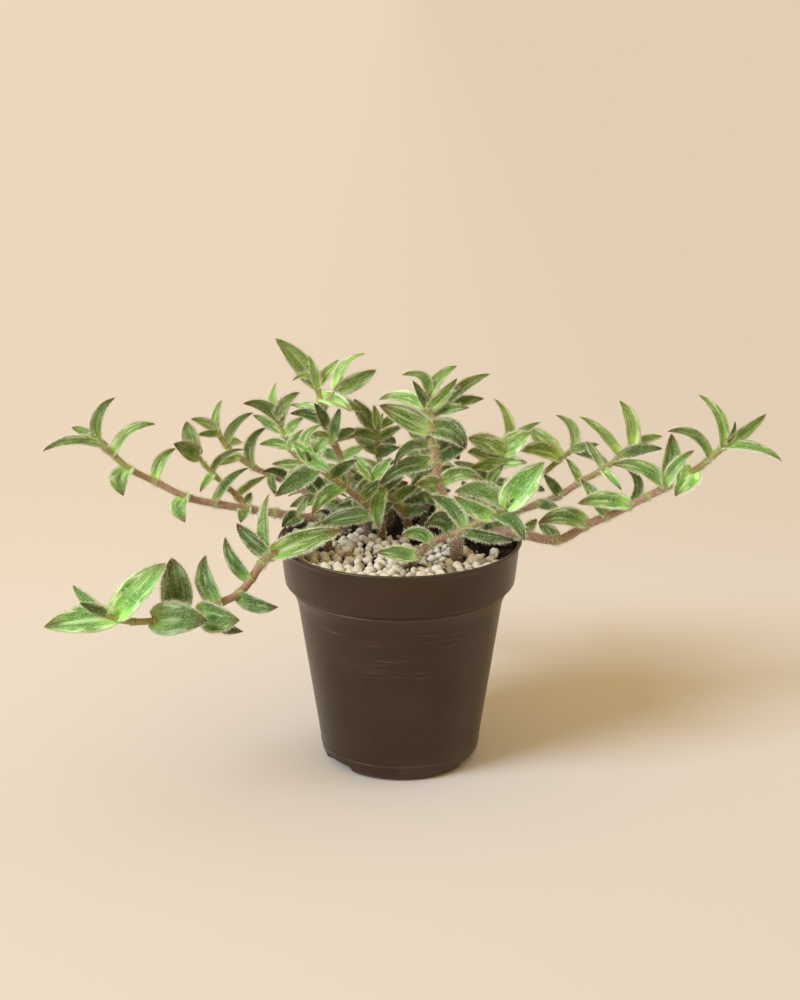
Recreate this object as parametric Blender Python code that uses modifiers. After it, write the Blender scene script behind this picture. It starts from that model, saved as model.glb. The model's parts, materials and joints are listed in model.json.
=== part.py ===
"""A small potted tradescantia: trailing, leafy stems rooted in a brown nursery pot.

Metres, +Z up. The origin is the middle of the pot's flat floor, on the surface that it stands on.
The viewer stands on the -Y side, so +X is to the viewer's right.
"""

import math
import random

import bmesh
import bpy
from mathutils import Matrix, Vector
from mathutils.bvhtree import BVHTree

MM = 0.001
UP = Vector((0.0, 0.0, 1.0))

# Driving dimensions of the pot, in metres
RIM_DIAMETER = 0.120
POT_HEIGHT = 0.114
WALL = 0.0013
COLLAR_SIDE = 0.0585
COLLAR_FOOT = 0.0565
COLLAR_FOOT_Z = 0.0922
NECK_RADIUS = 0.0504
NECK_Z = 0.0812
FOOT_RADIUS = 0.0392
FOOT_Z = 0.0042
STAND_RADIUS = 0.0355
POT_SIDES = 36

# Three drain notches through the bottom corner, at these turns from the front
NOTCH_TURNS = (-54, 66, 186)
NOTCH_WIDTH = 0.021
NOTCH_HEIGHT = 0.0045

# What fills the pot
SOIL_TOP = 0.1035
GRANULE_PITCH = 0.0095
GRANULE_TOP = 0.0079
GRANULE_GAP_TOP = 0.0033
GRANULE_SEED = 11
CLEARANCE = 0.0003
ROOT_DEPTH = 0.012

# Leaf proportions: shares of the length and of the half width, and half the thickness in mm
STATIONS = (
    (0.00, 0.20, 0.70),
    (0.34, 1.00, 0.55),
    (0.72, 0.78, 0.48),
)
TROUGH = 0.30
USUAL_ARCH = 0.06
ARCH_EASE = 0.0010
SLENDERNESS = 0.29
WIDEST_MM = 17.5
NARROWEST_MM = 4.0

# The sketch frame: most stems and leaf tips below were drafted in millimetres as the viewer sees
# them from a little above the rim: to the right, up, and towards the viewer from its middle.
SKETCH_TILT = math.radians(17.26)
SKETCH_DISTANCE = 878.0
SKETCH_EYE_LEVEL = 17.7
TO_VIEWER = Vector((0.0, -math.cos(SKETCH_TILT), math.sin(SKETCH_TILT)))

# A leaf that would cross another stem's leaves, the rim or the dressing is bent clear of it:
# its tip moves towards the viewer or away by the first of these, in mm, that clears them.
BENDS_MM = (0, 3, -3, 6, -6, 9, -9, 12, -12, 16, -16, 20, -20, 25, -25, 30, -30)
BEND_ROOM_MM = 0.4

# Every stem: where it stands in the pot (x, y) in mm, its thickness in mm, and its nodes from the
# pot outwards. A node is its place and its leaves. A leaf is its tip's place to the right and up,
# how much nearer than the node its tip is, and the width that is seen, negative where the
# underside shows. The last two numbers, where given, are a place that the leaf arches through.
# Stems seen "front" are in the sketch frame; those seen "above" are x, y and height over the rim.
STEMS = {
    "stem_left_long": dict(
        root=(-28, 15), girth=4.0, seen="front",
        nodes=(
            ((-39, 8, -14), ()),
            ((-50, 9, -13), ((-58, 4, 12, 9), (-45, 19, -6, 4))),
            ((-61, 11, -11), ()),
            ((-75, 13, -8), ((-73, 21, -7, 5), (-78, 6, 9, 7))),
            ((-90, 15.5, -4), ((-74, 33, -3, 5, -85.5, 25),)),
            ((-104.5, 18.8, -1), ((-105, 6.3, 14, 11, -110, 14),)),
            ((-119.5, 26.2, 0), ((-109.5, 42.7, -6, 6.5, -118.5, 36.5),)),
            ((-132, 32.3, 2), ((-135.3, 19.3, 13, 12, -139.3, 27),)),
            ((-140, 39, 3), ((-119.5, 54.5, 3, 6.5, -131.5, 53),)),
            ((-144, 42.5, 4), ((-175, 41, 4, 6, -160, 46.3),)),
            ((-147, 45.5, 4), ((-139.3, 67.5, -3, 7, -149.5, 57), (-161, 53, -9, 5))),
        ),
        shoots=(dict(
            start=4, girth=2.8,
            nodes=(
                ((-79.5, 19, -10), ((-65, 29, -6, 4),)),
                ((-86, 25, -11), ()),
                ((-91.5, 30, -11), ((-76, 42, -6, 4, -86, 39), (-98, 21, 8, 5))),
                ((-96, 35, -10), ()),
                ((-99, 39, -9), ((-111, 45, 10, 10), (-104.5, 56, -5, 10))),
            ),
        ),),
    ),
    "stem_left_back": dict(
        root=(-31, 31), girth=3.4, seen="front",
        nodes=(
            ((-41, 18, -30), ((-45, 30, -8, 6), (-54, 14, 8, 7))),
            ((-54, 25, -31), ((-67.5, 31, 8, 5, -61, 33), (-49, 36, 8, 6))),
            ((-63, 29.5, -31), ((-60, 19, 12, 5),)),
            ((-72, 33.5, -31), ((-65, 53, -7, 6, -74, 45),)),
            ((-79, 38.5, -31), ((-90, 34, 10, 5),)),
            ((-85, 44, -31), ((-71.7, 60.2, -4, 5.5, -82, 53), (-78, 46, -18, 5))),
            ((-89, 49.5, -31), ((-102.7, 57, 4, 6, -95, 56), (-87, 66.5, -5, 5, -91, 57.5), (-100, 49, 10, 4))),
        ),
    ),
    "stem_left_inner": dict(
        root=(-19, 27), girth=3.4, seen="front",
        nodes=(
            ((-27, 14, -23), ((-41, 17, 5, 7), (-16, 19, 6, 7))),
            ((-38, 23, -20), ((-26, 33, -8, 7), (-46, 31, 9, 6))),
            ((-47.5, 34, -18), ((-63, 35, 4, 6), (-39, 44, -8, 6))),
            ((-53.5, 43, -16), ((-69, 44.5, 4, 6, -62, 46), (-47, 52, 9, 6))),
            ((-56.5, 49.5, -15), ((-72, 59, -6, 6), (-47, 58, 5, 6))),
            ((-58.5, 54.5, -14), ((-77, 64.5, 5, 7, -69, 66), (-49, 70, -5, 7, -56, 67))),
            ((-60, 58, -13), ((-60.5, 75, -3, 4.5, -63, 67), (-57, 66, 7, 5))),
        ),
    ),
    "stem_front_left_short": dict(
        root=(-9, 9), girth=3.3, seen="front",
        nodes=(
            ((-12, 10, 0), ((-3, 16, 8, 7), (-40.5, 4.3, 4, 9, -27, 10))),
            ((-19, 17, 9), ((-9, 27, -3, 7),)),
            ((-27, 23.5, 17), ((-43, 9.5, 7, 8, -38, 20), (-30, 35, -7, 6))),
            ((-34, 28.5, 24), ((-21, 37, 3, 6),)),
            ((-40, 33, 29), ((-61, 19, 5, 10, -50.5, 27.5), (-48, 44, -9, 6))),
            ((-44, 37, 33), (
                (-52.5, 46, 3, 8.5), (-35.5, 48, -3, 9), (-34.5, 31, 9, 8), (-38, 54, -7, 6, -46, 52),
            )),
        ),
    ),
    "stem_tall_left": dict(
        root=(-16, 16), girth=4.0, seen="front",
        nodes=(
            ((-19, 14, -12), ((-31, 14, 8, 7), (-8, 18, -5, 7))),
            ((-24, 25, -8), ((-12, 32, -7, 6), (-37, 29, 8, 6))),
            ((-28.5, 37, -5), ((-44, 42, -9, 7), (-17, 44, 6, 7))),
            ((-33, 46.5, -2), ((-29, 63, 7, 6), (-47, 49, 9, 7), (-22, 52, -7, 6))),
            ((-36, 53.5, -1), ((-54, 59.5, 3, 6.5, -45, 60.5), (-42, 65, 10, 6))),
            ((-38, 61, 0), ((-54, 63.8, -8, 5),)),
            ((-39, 67, 1), ((-24, 60.5, 9, 8.5, -30, 67),)),
            ((-40.5, 72, 1), (
                (-61.3, 96.5, 2, 11, -49.5, 87), (-44.5, 88, 6, 5), (-30, 86, -4, 6), (-53, 75.5, 7, 4, -47, 79.5),
            )),
        ),
        shoots=(dict(
            start=6, girth=2.8,
            nodes=(
                ((-34.5, 67, 3), ((-19, 61, -8, 6),)),
                ((-31, 71, 4), (
                    (-11.5, 81.2, 3, 9, -20.5, 75.7), (-17, 89, -6, 5, -27, 84),
                )),
            ),
        ),),
    ),
    "stem_behind_centre": dict(
        root=(-5, 31), girth=3.4, seen="front",
        nodes=(
            ((-7, 20, -27), ((4, 26, -5, 7), (-18, 22, 8, 7), (6, 16, 7, 8), (-19, 12, 10, 7))),
            ((-9, 31, -24), ((-29, 36, 5, 7, -20, 36), (3, 36, 6, 7), (-20, 28, 12, 7))),
            ((-10.5, 40, -21), ((0, 43, 14, 7), (-22, 48, -10, 7))),
            ((-11, 47, -19), ((-31, 45.5, 6, 6, -20, 51), (2, 54, 4, 5), (-2, 46, -10, 6))),
            ((-11, 52.5, -18), ((-22.5, 67, -3, 8.5, -19.5, 60.5), (1, 59, -6, 5), (-13, 64, 6, 5))),
        ),
    ),
    "stem_centre_short": dict(
        root=(4, 14), girth=3.6, seen="front",
        nodes=(
            ((2, 11, -9), ((14, 13, 8, 7), (-6, 19, -6, 6))),
            ((-3, 17, -4), ((8, 24, -3, 7),)),
            ((-8, 22, 1), ((-10, 2.5, 12, 8.5, -12, 14), (4, 33, -5, 7))),
            ((-13, 27, 3), ((-20.5, 9.5, 10, 8.5, -20, 20), (-23, 39, -4, 7), (-4, 38, 6, 7))),
        ),
    ),
    "stem_behind_right": dict(
        root=(12, 31), girth=3.2, seen="front",
        nodes=(
            ((13, 19, -29), ((25, 22, 5, 8), (3, 23, -6, 7), (1, 14, 11, 8), (26, 13, 10, 7))),
            ((13, 28, -27), ((28, 33, -5, 7), (1, 33, 5, 7), (5, 19, 10, 9))),
            ((12, 36, -25), ((25, 41, 6, 7), (-1, 44, -4, 6), (20, 49, -6, 6))),
            ((11, 43, -24), ((22, 53, 4, 6), (3, 55, 2, 6))),
        ),
    ),
    "stem_tall_right": dict(
        root=(27, -21), girth=6.4, seen="front",
        nodes=(
            ((22, 13, 17), ((35, 18, 3, 7),)),
            ((18.5, 24, 14), ((7.5, 25, 12, 9.5), (41, 26, -3, 8, 30, 32))),
            ((17, 35, 12), ((-10.6, 24.2, 4, 9, 3, 35.5), (32.5, 44, -8, 7))),
            ((16, 43, 10), ((-3, 33.5, 7, 5.5, 6, 45), (29, 37, -6, 9, 24, 44))),
            ((15, 51, 9), ((-10.4, 63.8, 4, 12.5, 1.3, 58.5), (32.5, 42.3, 5, 12.5, 26, 55))),
            ((14, 57, 8), ()),
            ((13.5, 62, 8), ((-10.4, 66.5, -5, 8, 0, 69.6), (28, 77, 7, 7, 23, 70), (6, 76, 6, 5))),
            ((14, 67, 7), ((28, 83, -3, 7, 18.5, 78), (0.6, 78.4, -2, 6, 8, 82))),
        ),
        shoots=(dict(
            start=6, girth=3.0,
            nodes=(
                ((18, 60.5, 4), ((34, 62.5, 8, 6),)),
                ((22, 64, 1), ((41.2, 67, -4, 6, 30.5, 65.5), (44.5, 79, -7, 6, 33, 74), (31, 72, 8, 5))),
            ),
        ),),
    ),
    "stem_front_right": dict(
        root=(6, -33), girth=4.1, seen="front",
        nodes=(
            ((8.5, -10, 34), ((-11.5, -8.2, 4, 8.5, -2.5, -9),)),
            ((15, -4, 35), ((0, -0.8, 5, 7, 9, 2.5),)),
            ((24, 0, 36.5), ((12, 4.5, 7, 9.5, 17.5, 12),)),
            ((31, 2.6, 38), ((14.6, 19.2, 3, 8, 22, 19.5), (56.5, -2, 5, 6, 44, -0.5))),
            ((39, 6.4, 40), ()),
            ((46, 9.8, 41.5), ((26.2, 19.5, 9, 9, 36.5, 12.5), (61, -3, 8, 7.5, 57.5, 7))),
            ((52, 13.5, 42.5), ((70.7, 36, 2, 15, 60.5, 26.5), (26.4, 21, -3, 10, 40, 24.6))),
        ),
    ),
    "stem_right_long": dict(
        root=(28, 2), girth=4.4, seen="front",
        nodes=(
            ((44, 1.5, 8), ((52, 10, -8, 6), (37, 11, 7, 7))),
            ((58, 0.8, 14), ((67, 8, -6, 6),)),
            ((77, -2.2, 17), ((68, 6, -7, 7),)),
            ((91, 5, 17), ((67.5, 6, 7, 10.5, 79, 11.5),)),
            ((101, 9.2, 17), ((88, 28, -6, 7.5),)),
            ((112, 14.5, 17), ((86.7, 15.4, 7, 10, 98.6, 19), (108, 34.5, -7, 5.5, 117, 27))),
            ((121, 19, 17), ()),
            ((130, 23.5, 17), ((103, 34.6, 3, 9, 116.4, 35.6), (132.8, 49.9, -4, 11), (144.3, 41.8, 3, 7, 135, 36))),
            ((143, 30.8, 17), ((134.5, 19, 13, 12),)),
            ((151, 36.9, 17), ((130.6, 50.8, 3, 6, 142.7, 50.8),)),
            ((157, 42.5, 17), ((145.5, 69, -3, 7, 155, 62), (187, 36.3, 5, 6, 172, 43.3))),
            ((160, 45.5, 17), ((179.4, 59.8, -3, 6, 170.5, 52.6), (164, 56, 4, 3))),
        ),
    ),
    "stem_right_second": dict(
        root=(27, 20), girth=3.8, seen="front",
        nodes=(
            ((43, 9.5, -17), ((50, 21, -6, 6), (35, 19, 6, 6))),
            ((58, 12.5, -15), ((53, 23, 6, 6),)),
            ((68, 15.5, -15), ((79, 12, 8, 6),)),
            ((78, 19.5, -15), ((70, 30, 6, 6),)),
            ((88, 26, -15), ((81, 38, 7, 5),)),
            ((99, 32, -15), ((108.5, 22, 10, 5), (91, 46, -9, 5))),
            ((107, 38, -15), ((87.6, 58.2, -4, 6.5, 100, 49), (129, 42.3, 6, 6, 118, 42.6))),
            ((113, 43.5, -15), ((107.2, 66.2, -3, 9, 114, 56.5), (128.4, 48.5, -8, 5))),
        ),
    ),
    "stem_right_third": dict(
        root=(24, 34), girth=3.4, seen="front",
        nodes=(
            ((36, 15, -31), ((30, 27, 3, 7), (46, 25, 6, 6))),
            ((48, 19.5, -29), ((44, 33, -8, 6),)),
            ((60, 24.5, -28), ((71, 22, -9, 5),)),
            ((70, 30.5, -28), ((59, 32, 9, 6),)),
            ((78, 37, -28), ((60.8, 52.8, -6, 9.5, 70, 48.3), (58, 41.5, 7, 9, 68, 43.5))),
            ((84, 41.5, -28), ((76, 59, -3, 6, 86, 52), (97.5, 44.6, 4, 5), (103.3, 33, -6, 6, 94, 39.8))),
        ),
    ),
    "stem_right_inner": dict(
        root=(38, 12), girth=3.6, seen="front",
        nodes=(
            ((40, 17, -10), ((52, 17, 7, 6), (28, 20, 5, 8))),
            ((44, 26, -9), ((26, 36, -5, 6, 34, 34), (57, 24, -4, 6), (51, 35, 9, 6))),
            ((48.5, 35, -9), ((62.5, 35.5, 8, 7.5), (35, 33, 7, 7), (33, 41, -7, 9, 40, 41.5))),
            ((51, 41, -9), (
                (33, 47.5, -4, 10, 42, 46.5), (64.3, 50.5, 7, 12, 57, 47), (41, 47, 9, 7),
                (46, 67, -3, 5.5, 53, 56), (69, 55.5, -8, 5),
            )),
        ),
    ),
    "stem_front_left_long": dict(
        root=(-35, -8), girth=4.2, seen="front",
        nodes=(
            ((-45, -2.5, 20), ((-38, 7, 5, 7),)),
            ((-55, -5.5, 28), ()),
            ((-63.5, -10, 33), ((-28, 2.5, -7, 12, -47.5, -1.8), (-64, 20.5, -6, 6, -67, 10), (-80, 6, -8, 9))),
            ((-68, -14, 37), ()),
            ((-73, -21.5, 40), ((-85.6, -0.6, -4, 7.5, -83.5, -11.5),)),
            ((-79, -28.5, 43), ((-59.5, -35, 7, 9, -70.5, -35),)),
            ((-88, -33, 47), ((-95, -9.5, -5, 10, -98, -21), (-76.5, -47, 10, 8, -88, -45))),
            ((-98, -37, 50), ((-78.3, -41.5, 8, 16, -88, -40.5),)),
            ((-109, -39.5, 53), ((-111.8, -10.8, -7, 15.5, -109, -25),)),
            ((-120.5, -41.8, 56), ((-94, -42, 9, 17.5, -107, -40.5),)),
            ((-131, -42.2, 59), ()),
            ((-139, -40.8, 61), ((-114.5, -13.7, -5, 16, -129.5, -26), (-174.5, -45, 6, 14.5, -158, -40.5))),
            ((-144, -38.5, 62), ((-160.2, -24.2, -6, 7, -152, -33.5), (-157, -33, 9, 5))),
        ),
    ),
    "stem_back_left": dict(
        root=(-15, 42), girth=3.6, seen="above",
        nodes=(
            ((-17, 53, 8), ((-30, 62, 14, 7),)),
            ((-22, 65, 11), ((-6, 74, 15, 8), (-36, 60, 14, 7))),
            ((-28, 77, 10), ((-46, 72, 13, 8, -37, 73), (-18, 92, 12, 7))),
            ((-34, 88, 5), ((-17, 99, 4, 8), (-50, 98, 7, 8))),
            ((-39, 97, -2), ((-58, 92, -6, 8), (-29, 113, -4, 8))),
            ((-43, 104, -9), ((-62, 110, -14, 8), (-40, 126, -19, 7, -42, 116), (-28, 104, -13, 6))),
        ),
    ),
    "stem_back_right": dict(
        root=(7, 43), girth=3.6, seen="above",
        nodes=(
            ((11, 54, 8), ((0, 66, 13, 7),)),
            ((18, 66, 11), ((3, 78, 14, 8), (36, 68, 14, 7))),
            ((27, 78, 10), ((45, 74, 12, 8), (18, 95, 11, 8))),
            ((36, 89, 5), ((20, 103, 3, 8), (55, 92, 6, 8))),
            ((43, 98, -2), ((62, 94, -7, 8), (36, 116, -6, 8))),
            ((48, 105, -10), ((66, 114, -17, 8), (47, 128, -20, 7, 48, 117), (31, 104, -14, 6))),
        ),
    ),
}

# Colours: red, green and blue in linear light, roughness
LOOKS = {
    "pot": ((0.052, 0.040, 0.030), 0.42),
    "potting_soil": ((0.030, 0.021, 0.015), 0.95),
    "pumice_dressing": ((0.56, 0.49, 0.38), 0.90),
    "leafy_stem": ((0.20, 0.26, 0.10), 0.60),
}


def start_afresh():
    for obj in list(bpy.data.objects):
        bpy.data.objects.remove(obj, do_unlink=True)


def new_collection(name):
    made = bpy.data.collections.new(name)
    bpy.context.scene.collection.children.link(made)
    return made


def material(name, look):
    made = bpy.data.materials.new(name)
    made.use_nodes = True
    shader = made.node_tree.nodes["Principled BSDF"]
    colour, roughness = LOOKS[look]
    shader.inputs["Base Color"].default_value = (*colour, 1.0)
    shader.inputs["Roughness"].default_value = roughness
    shader.inputs["Metallic"].default_value = 0.0
    return made


def add_object(name, mesh, home):
    obj = bpy.data.objects.new(name, mesh)
    home.objects.link(obj)
    return obj


def shade_round(obj, degrees=35):
    obj.data.shade_smooth()
    obj.data.set_sharp_from_angle(angle=math.radians(degrees))


def baked(obj):
    """The object's mesh as its modifiers leave it."""
    graph = bpy.context.evaluated_depsgraph_get()
    return bpy.data.meshes.new_from_object(obj.evaluated_get(graph))


def turned(name, profile, home, sides):
    """A body turned round Z from its profile, which runs down its outer side."""
    form = bmesh.new()
    corners = [form.verts.new((radius, 0.0, z)) for radius, z in profile]
    for first, second in zip(corners, corners[1:]):
        form.edges.new((first, second))
    mesh = bpy.data.meshes.new(name)
    form.to_mesh(mesh)
    form.free()
    obj = add_object(name, mesh, home)
    screw = obj.modifiers.new("Turn", "SCREW")
    screw.axis = "Z"
    screw.steps = sides
    screw.render_steps = sides
    screw.use_merge_vertices = True
    screw.merge_threshold = 0.00001
    return obj


def outer_profile():
    """The pot's outside, from the lip down to the middle of its floor."""
    lip = RIM_DIAMETER / 2
    return [
        (lip - 0.0013, POT_HEIGHT),
        (lip - 0.0002, POT_HEIGHT - 0.0006),
        (lip - 0.0003, POT_HEIGHT - 0.0018),
        (COLLAR_SIDE, POT_HEIGHT - 0.0030),
        (COLLAR_FOOT, COLLAR_FOOT_Z),
        (COLLAR_FOOT - 0.0023, COLLAR_FOOT_Z - 0.0013),
        (NECK_RADIUS + 0.0010, NECK_Z + 0.0035),
        (NECK_RADIUS, NECK_Z),
        (FOOT_RADIUS, FOOT_Z),
        (FOOT_RADIUS - 0.0010, FOOT_Z - 0.0025),
        (STAND_RADIUS, 0.0),
        (0.0, 0.0),
    ]


def inner_profile(gap=0.0):
    """The pot's inside, from the middle of its floor up to the lip, less a gap."""
    return [
        (0.0, WALL + gap),
        (STAND_RADIUS - 0.0008 - gap, WALL + gap),
        (FOOT_RADIUS - WALL - 0.0001 - gap, FOOT_Z + 0.0008 + gap),
        (NECK_RADIUS - WALL - gap, NECK_Z + 0.0006 + gap),
        (NECK_RADIUS + 0.0010 - WALL - gap, NECK_Z + 0.0037 + gap),
        (COLLAR_FOOT - 0.0022 - WALL - gap, COLLAR_FOOT_Z - 0.0004 + gap),
        (COLLAR_FOOT - WALL - gap, COLLAR_FOOT_Z + 0.0013 + gap),
        (COLLAR_SIDE - WALL - gap, POT_HEIGHT - 0.0016),
    ]


def inner_radius(z, gap=0.0):
    """How wide the pot is inside at a height."""
    profile = inner_profile(gap)[1:]
    for (low_r, low_z), (high_r, high_z) in zip(profile, profile[1:]):
        if z <= high_z:
            share = (z - low_z) / (high_z - low_z)
            return low_r + share * (high_r - low_r)
    return profile[-1][0]


def subtract(obj, cutters):
    cut = obj.modifiers.new("Cut", "BOOLEAN")
    cut.operation = "DIFFERENCE"
    cut.operand_type = "COLLECTION"
    cut.collection = cutters
    cut.solver = "EXACT"


def cutter_collection(name):
    made = new_collection(name)
    made.hide_render = True
    return made


def mark_cutter(obj):
    obj.hide_render = True
    obj.display_type = "WIRE"


def make_pot(home):
    pot = turned("pot", inner_profile() + outer_profile(), home, POT_SIDES)
    cutters = cutter_collection("pot_notch_cutters")
    depth = 0.020
    for turn in NOTCH_TURNS:
        box = bpy.data.meshes.new("notch_cutter")
        form = bmesh.new()
        bmesh.ops.create_cube(form, size=1.0)
        form.to_mesh(box)
        form.free()
        obj = add_object("notch_cutter", box, cutters)
        spin = Matrix.Rotation(math.radians(turn - 90), 4, "Z")
        middle = Matrix.Translation((0.0275 + depth / 2, 0.0, NOTCH_HEIGHT - 0.005))
        size = Matrix.Diagonal((depth, NOTCH_WIDTH, 0.010, 1.0))
        obj.data.transform(spin @ middle @ size)
        mark_cutter(obj)
    subtract(pot, cutters)
    pot.data.materials.append(material("brown_plastic", "pot"))
    shade_round(pot)
    return pot


def hole_cutters(home):
    """A plain round hole for each stem, from above the dressing down into the soil."""
    for name, stem in STEMS.items():
        radius = stem["girth"] * MM / 2 + 0.00050
        low = SOIL_TOP - ROOT_DEPTH - CLEARANCE
        high = POT_HEIGHT + 0.004
        mesh = bpy.data.meshes.new(name + "_hole")
        form = bmesh.new()
        bmesh.ops.create_cone(
            form, cap_ends=True, segments=8, radius1=radius, radius2=radius, depth=high - low
        )
        form.to_mesh(mesh)
        form.free()
        x, y = stem["root"]
        mesh.transform(Matrix.Translation((x * MM, y * MM, (high + low) / 2)))
        mark_cutter(add_object(name + "_hole", mesh, home))


def make_soil(home, holes):
    inside = inner_profile(CLEARANCE)
    profile = inside[:4] + [inside[5]]
    profile.append((inner_radius(SOIL_TOP, CLEARANCE), SOIL_TOP))
    profile.append((0.0, SOIL_TOP))
    profile.reverse()
    soil = turned("potting_soil", profile, home, POT_SIDES)
    subtract(soil, holes)
    soil.data.materials.append(material("peaty_soil", "potting_soil"))
    return soil


def granule_relief():
    """A slab whose top is raised into granules: a faceted mound on each cell of a jittered grid."""
    draw = random.Random(GRANULE_SEED)
    row_step = GRANULE_PITCH * math.sqrt(3) / 2
    reach = int(0.066 / row_step)
    centres = {}
    for row in range(-reach, reach + 1):
        for column in range(-reach, reach + 1):
            x = (column + 0.5 * (row % 2)) * GRANULE_PITCH + draw.uniform(-0.0013, 0.0013)
            y = row * row_step + draw.uniform(-0.0013, 0.0013)
            centres[row, column] = Vector((x, y, draw.uniform(-0.0011, 0.0)))
    form = bmesh.new()
    corners = {}

    def corner(cells):
        key = tuple(sorted(cells))
        if key not in corners:
            middle = sum((centres[cell] for cell in key), Vector()) / 3
            corners[key] = form.verts.new((middle.x, middle.y, SOIL_TOP + GRANULE_GAP_TOP))
        return corners[key]

    for (row, column), centre in centres.items():
        shift = row % 2
        around = [
            (row, column + 1), (row + 1, column + shift), (row + 1, column - 1 + shift),
            (row, column - 1), (row - 1, column - 1 + shift), (row - 1, column + shift),
        ]
        if any(cell not in centres for cell in around):
            continue
        low = [
            corner([(row, column), around[side], around[(side + 1) % 6]]) for side in range(6)
        ]
        crown = form.verts.new((centre.x, centre.y, SOIL_TOP + GRANULE_TOP + centre.z))
        for side in range(6):
            form.faces.new((low[side], low[(side + 1) % 6], crown))
    bmesh.ops.triangulate(form, faces=form.faces)
    bmesh.ops.recalc_face_normals(form, faces=form.faces)
    border = [edge for edge in form.edges if edge.is_boundary]
    skirt = bmesh.ops.extrude_edge_only(form, edges=border)["geom"]
    for vert in [item for item in skirt if isinstance(item, bmesh.types.BMVert)]:
        vert.co.z = SOIL_TOP - 0.004
    bmesh.ops.holes_fill(form, edges=[edge for edge in form.edges if edge.is_boundary], sides=0)
    bmesh.ops.triangulate(form, faces=form.faces)
    bmesh.ops.recalc_face_normals(form, faces=form.faces)
    mesh = bpy.data.meshes.new("pumice_dressing")
    form.to_mesh(mesh)
    form.free()
    return mesh


def make_dressing(home, holes):
    """The top dressing: the granules' relief, kept to what the pot holds and holed for stems."""
    dressing = add_object("pumice_dressing", granule_relief(), home)
    low = SOIL_TOP + CLEARANCE
    high = SOIL_TOP + 0.009
    profile = [
        (0.0, high),
        (inner_radius(high, CLEARANCE), high),
        (inner_radius(low, CLEARANCE), low),
        (0.0, low),
    ]
    room_home = cutter_collection("dressing_room")
    room = turned("dressing_room_in_pot", profile, room_home, POT_SIDES)
    room.data = baked(room)
    room.modifiers.clear()
    mark_cutter(room)
    keep = dressing.modifiers.new("Keep", "BOOLEAN")
    keep.operation = "INTERSECT"
    keep.object = room
    keep.solver = "EXACT"
    subtract(dressing, holes)
    dressing.data.materials.append(material("pumice", "pumice_dressing"))
    return dressing


def keep_largest_shell(mesh):
    """Drops loose scraps and sealed hollows that a union leaves."""
    form = bmesh.new()
    form.from_mesh(mesh)
    unseen = set(form.verts)
    shells = []
    while unseen:
        queue = [unseen.pop()]
        shell = list(queue)
        while queue:
            for edge in queue.pop().link_edges:
                for vert in edge.verts:
                    if vert in unseen:
                        unseen.remove(vert)
                        shell.append(vert)
                        queue.append(vert)
        shells.append(shell)
    shells.sort(key=len)
    for shell in shells[:-1]:
        bmesh.ops.delete(form, geom=shell, context="VERTS")
    form.to_mesh(mesh)
    form.free()


def is_closed(mesh):
    form = bmesh.new()
    form.from_mesh(mesh)
    closed = bool(form.faces) and all(len(edge.link_faces) == 2 for edge in form.edges)
    form.free()
    return closed


def fuse(body, loose):
    """One Boolean union of the body with all of a collection, which is then removed."""
    union = body.modifiers.new("Union", "BOOLEAN")
    union.operation = "UNION"
    union.operand_type = "COLLECTION"
    union.collection = loose
    for solver in ("EXACT", "MANIFOLD"):
        union.solver = solver
        mesh = baked(body)
        keep_largest_shell(mesh)
        if is_closed(mesh):
            break
    body.modifiers.clear()
    body.data = mesh
    for obj in list(loose.objects):
        bpy.data.objects.remove(obj, do_unlink=True)
    bpy.data.collections.remove(loose)


def place(point, seen):
    """A drafted point, in millimetres, in the part's own frame."""
    if seen == "above":
        return Vector((point[0] * MM, point[1] * MM, POT_HEIGHT + point[2] * MM))
    right, up, towards = point
    shrink = 1.0 - towards / SKETCH_DISTANCE
    rise = SKETCH_EYE_LEVEL + (up - SKETCH_EYE_LEVEL) * shrink
    y = rise * math.sin(SKETCH_TILT) - towards * math.cos(SKETCH_TILT)
    z = rise * math.cos(SKETCH_TILT) + towards * math.sin(SKETCH_TILT)
    return Vector((right * shrink * MM, y * MM, POT_HEIGHT + z * MM))


def smooth_path(knots, first_heading):
    """Points along a smooth curve through the knots, and the curve's heading at each knot."""
    headings = []
    for index, knot in enumerate(knots):
        if index == 0:
            headings.append(first_heading * (knots[1] - knot).length)
        elif index == len(knots) - 1:
            headings.append(knot - knots[index - 1])
        else:
            headings.append((knots[index + 1] - knots[index - 1]) / 2)
    path = [knots[0]]
    for index in range(len(knots) - 1):
        start, end = knots[index], knots[index + 1]
        leave, arrive = headings[index], headings[index + 1]
        for t in (0.3, 0.7) if index == 0 or (end - start).length > 0.015 else (0.5,):
            path.append(
                start * (2 * t**3 - 3 * t**2 + 1) + leave * (t**3 - 2 * t**2 + t)
                + end * (3 * t**2 - 2 * t**3) + arrive * (t**3 - t**2)
            )
    path.append(knots[-1])
    return path, [heading.normalized() for heading in headings]


def shoot_paths(stem):
    """A stem and its side shoots: thickness, nodes, the path's points and the nodes' headings."""
    seen = stem["seen"]
    x, y = stem["root"]
    foot = Vector((x * MM, y * MM, SOIL_TOP - ROOT_DEPTH))
    neck = Vector((x * MM, y * MM, POT_HEIGHT - 0.0012))
    knots = [neck] + [place(node[0], seen) for node in stem["nodes"]]
    path, headings = smooth_path(knots, UP)
    runs = [dict(
        girth=stem["girth"], nodes=stem["nodes"], path=[foot] + path, headings=headings[1:]
    )]
    for side in stem.get("shoots", ()):
        start = knots[side["start"]]
        turns = [start] + [place(node[0], seen) for node in side["nodes"]]
        path, headings = smooth_path(turns, (turns[1] - start).normalized())
        runs.append(dict(
            girth=side["girth"], nodes=side["nodes"], path=path, headings=headings[1:]
        ))
    return runs


def taper(share):
    return 1.06 - 0.36 * max(0.0, share - 0.25) / 0.75


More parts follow.
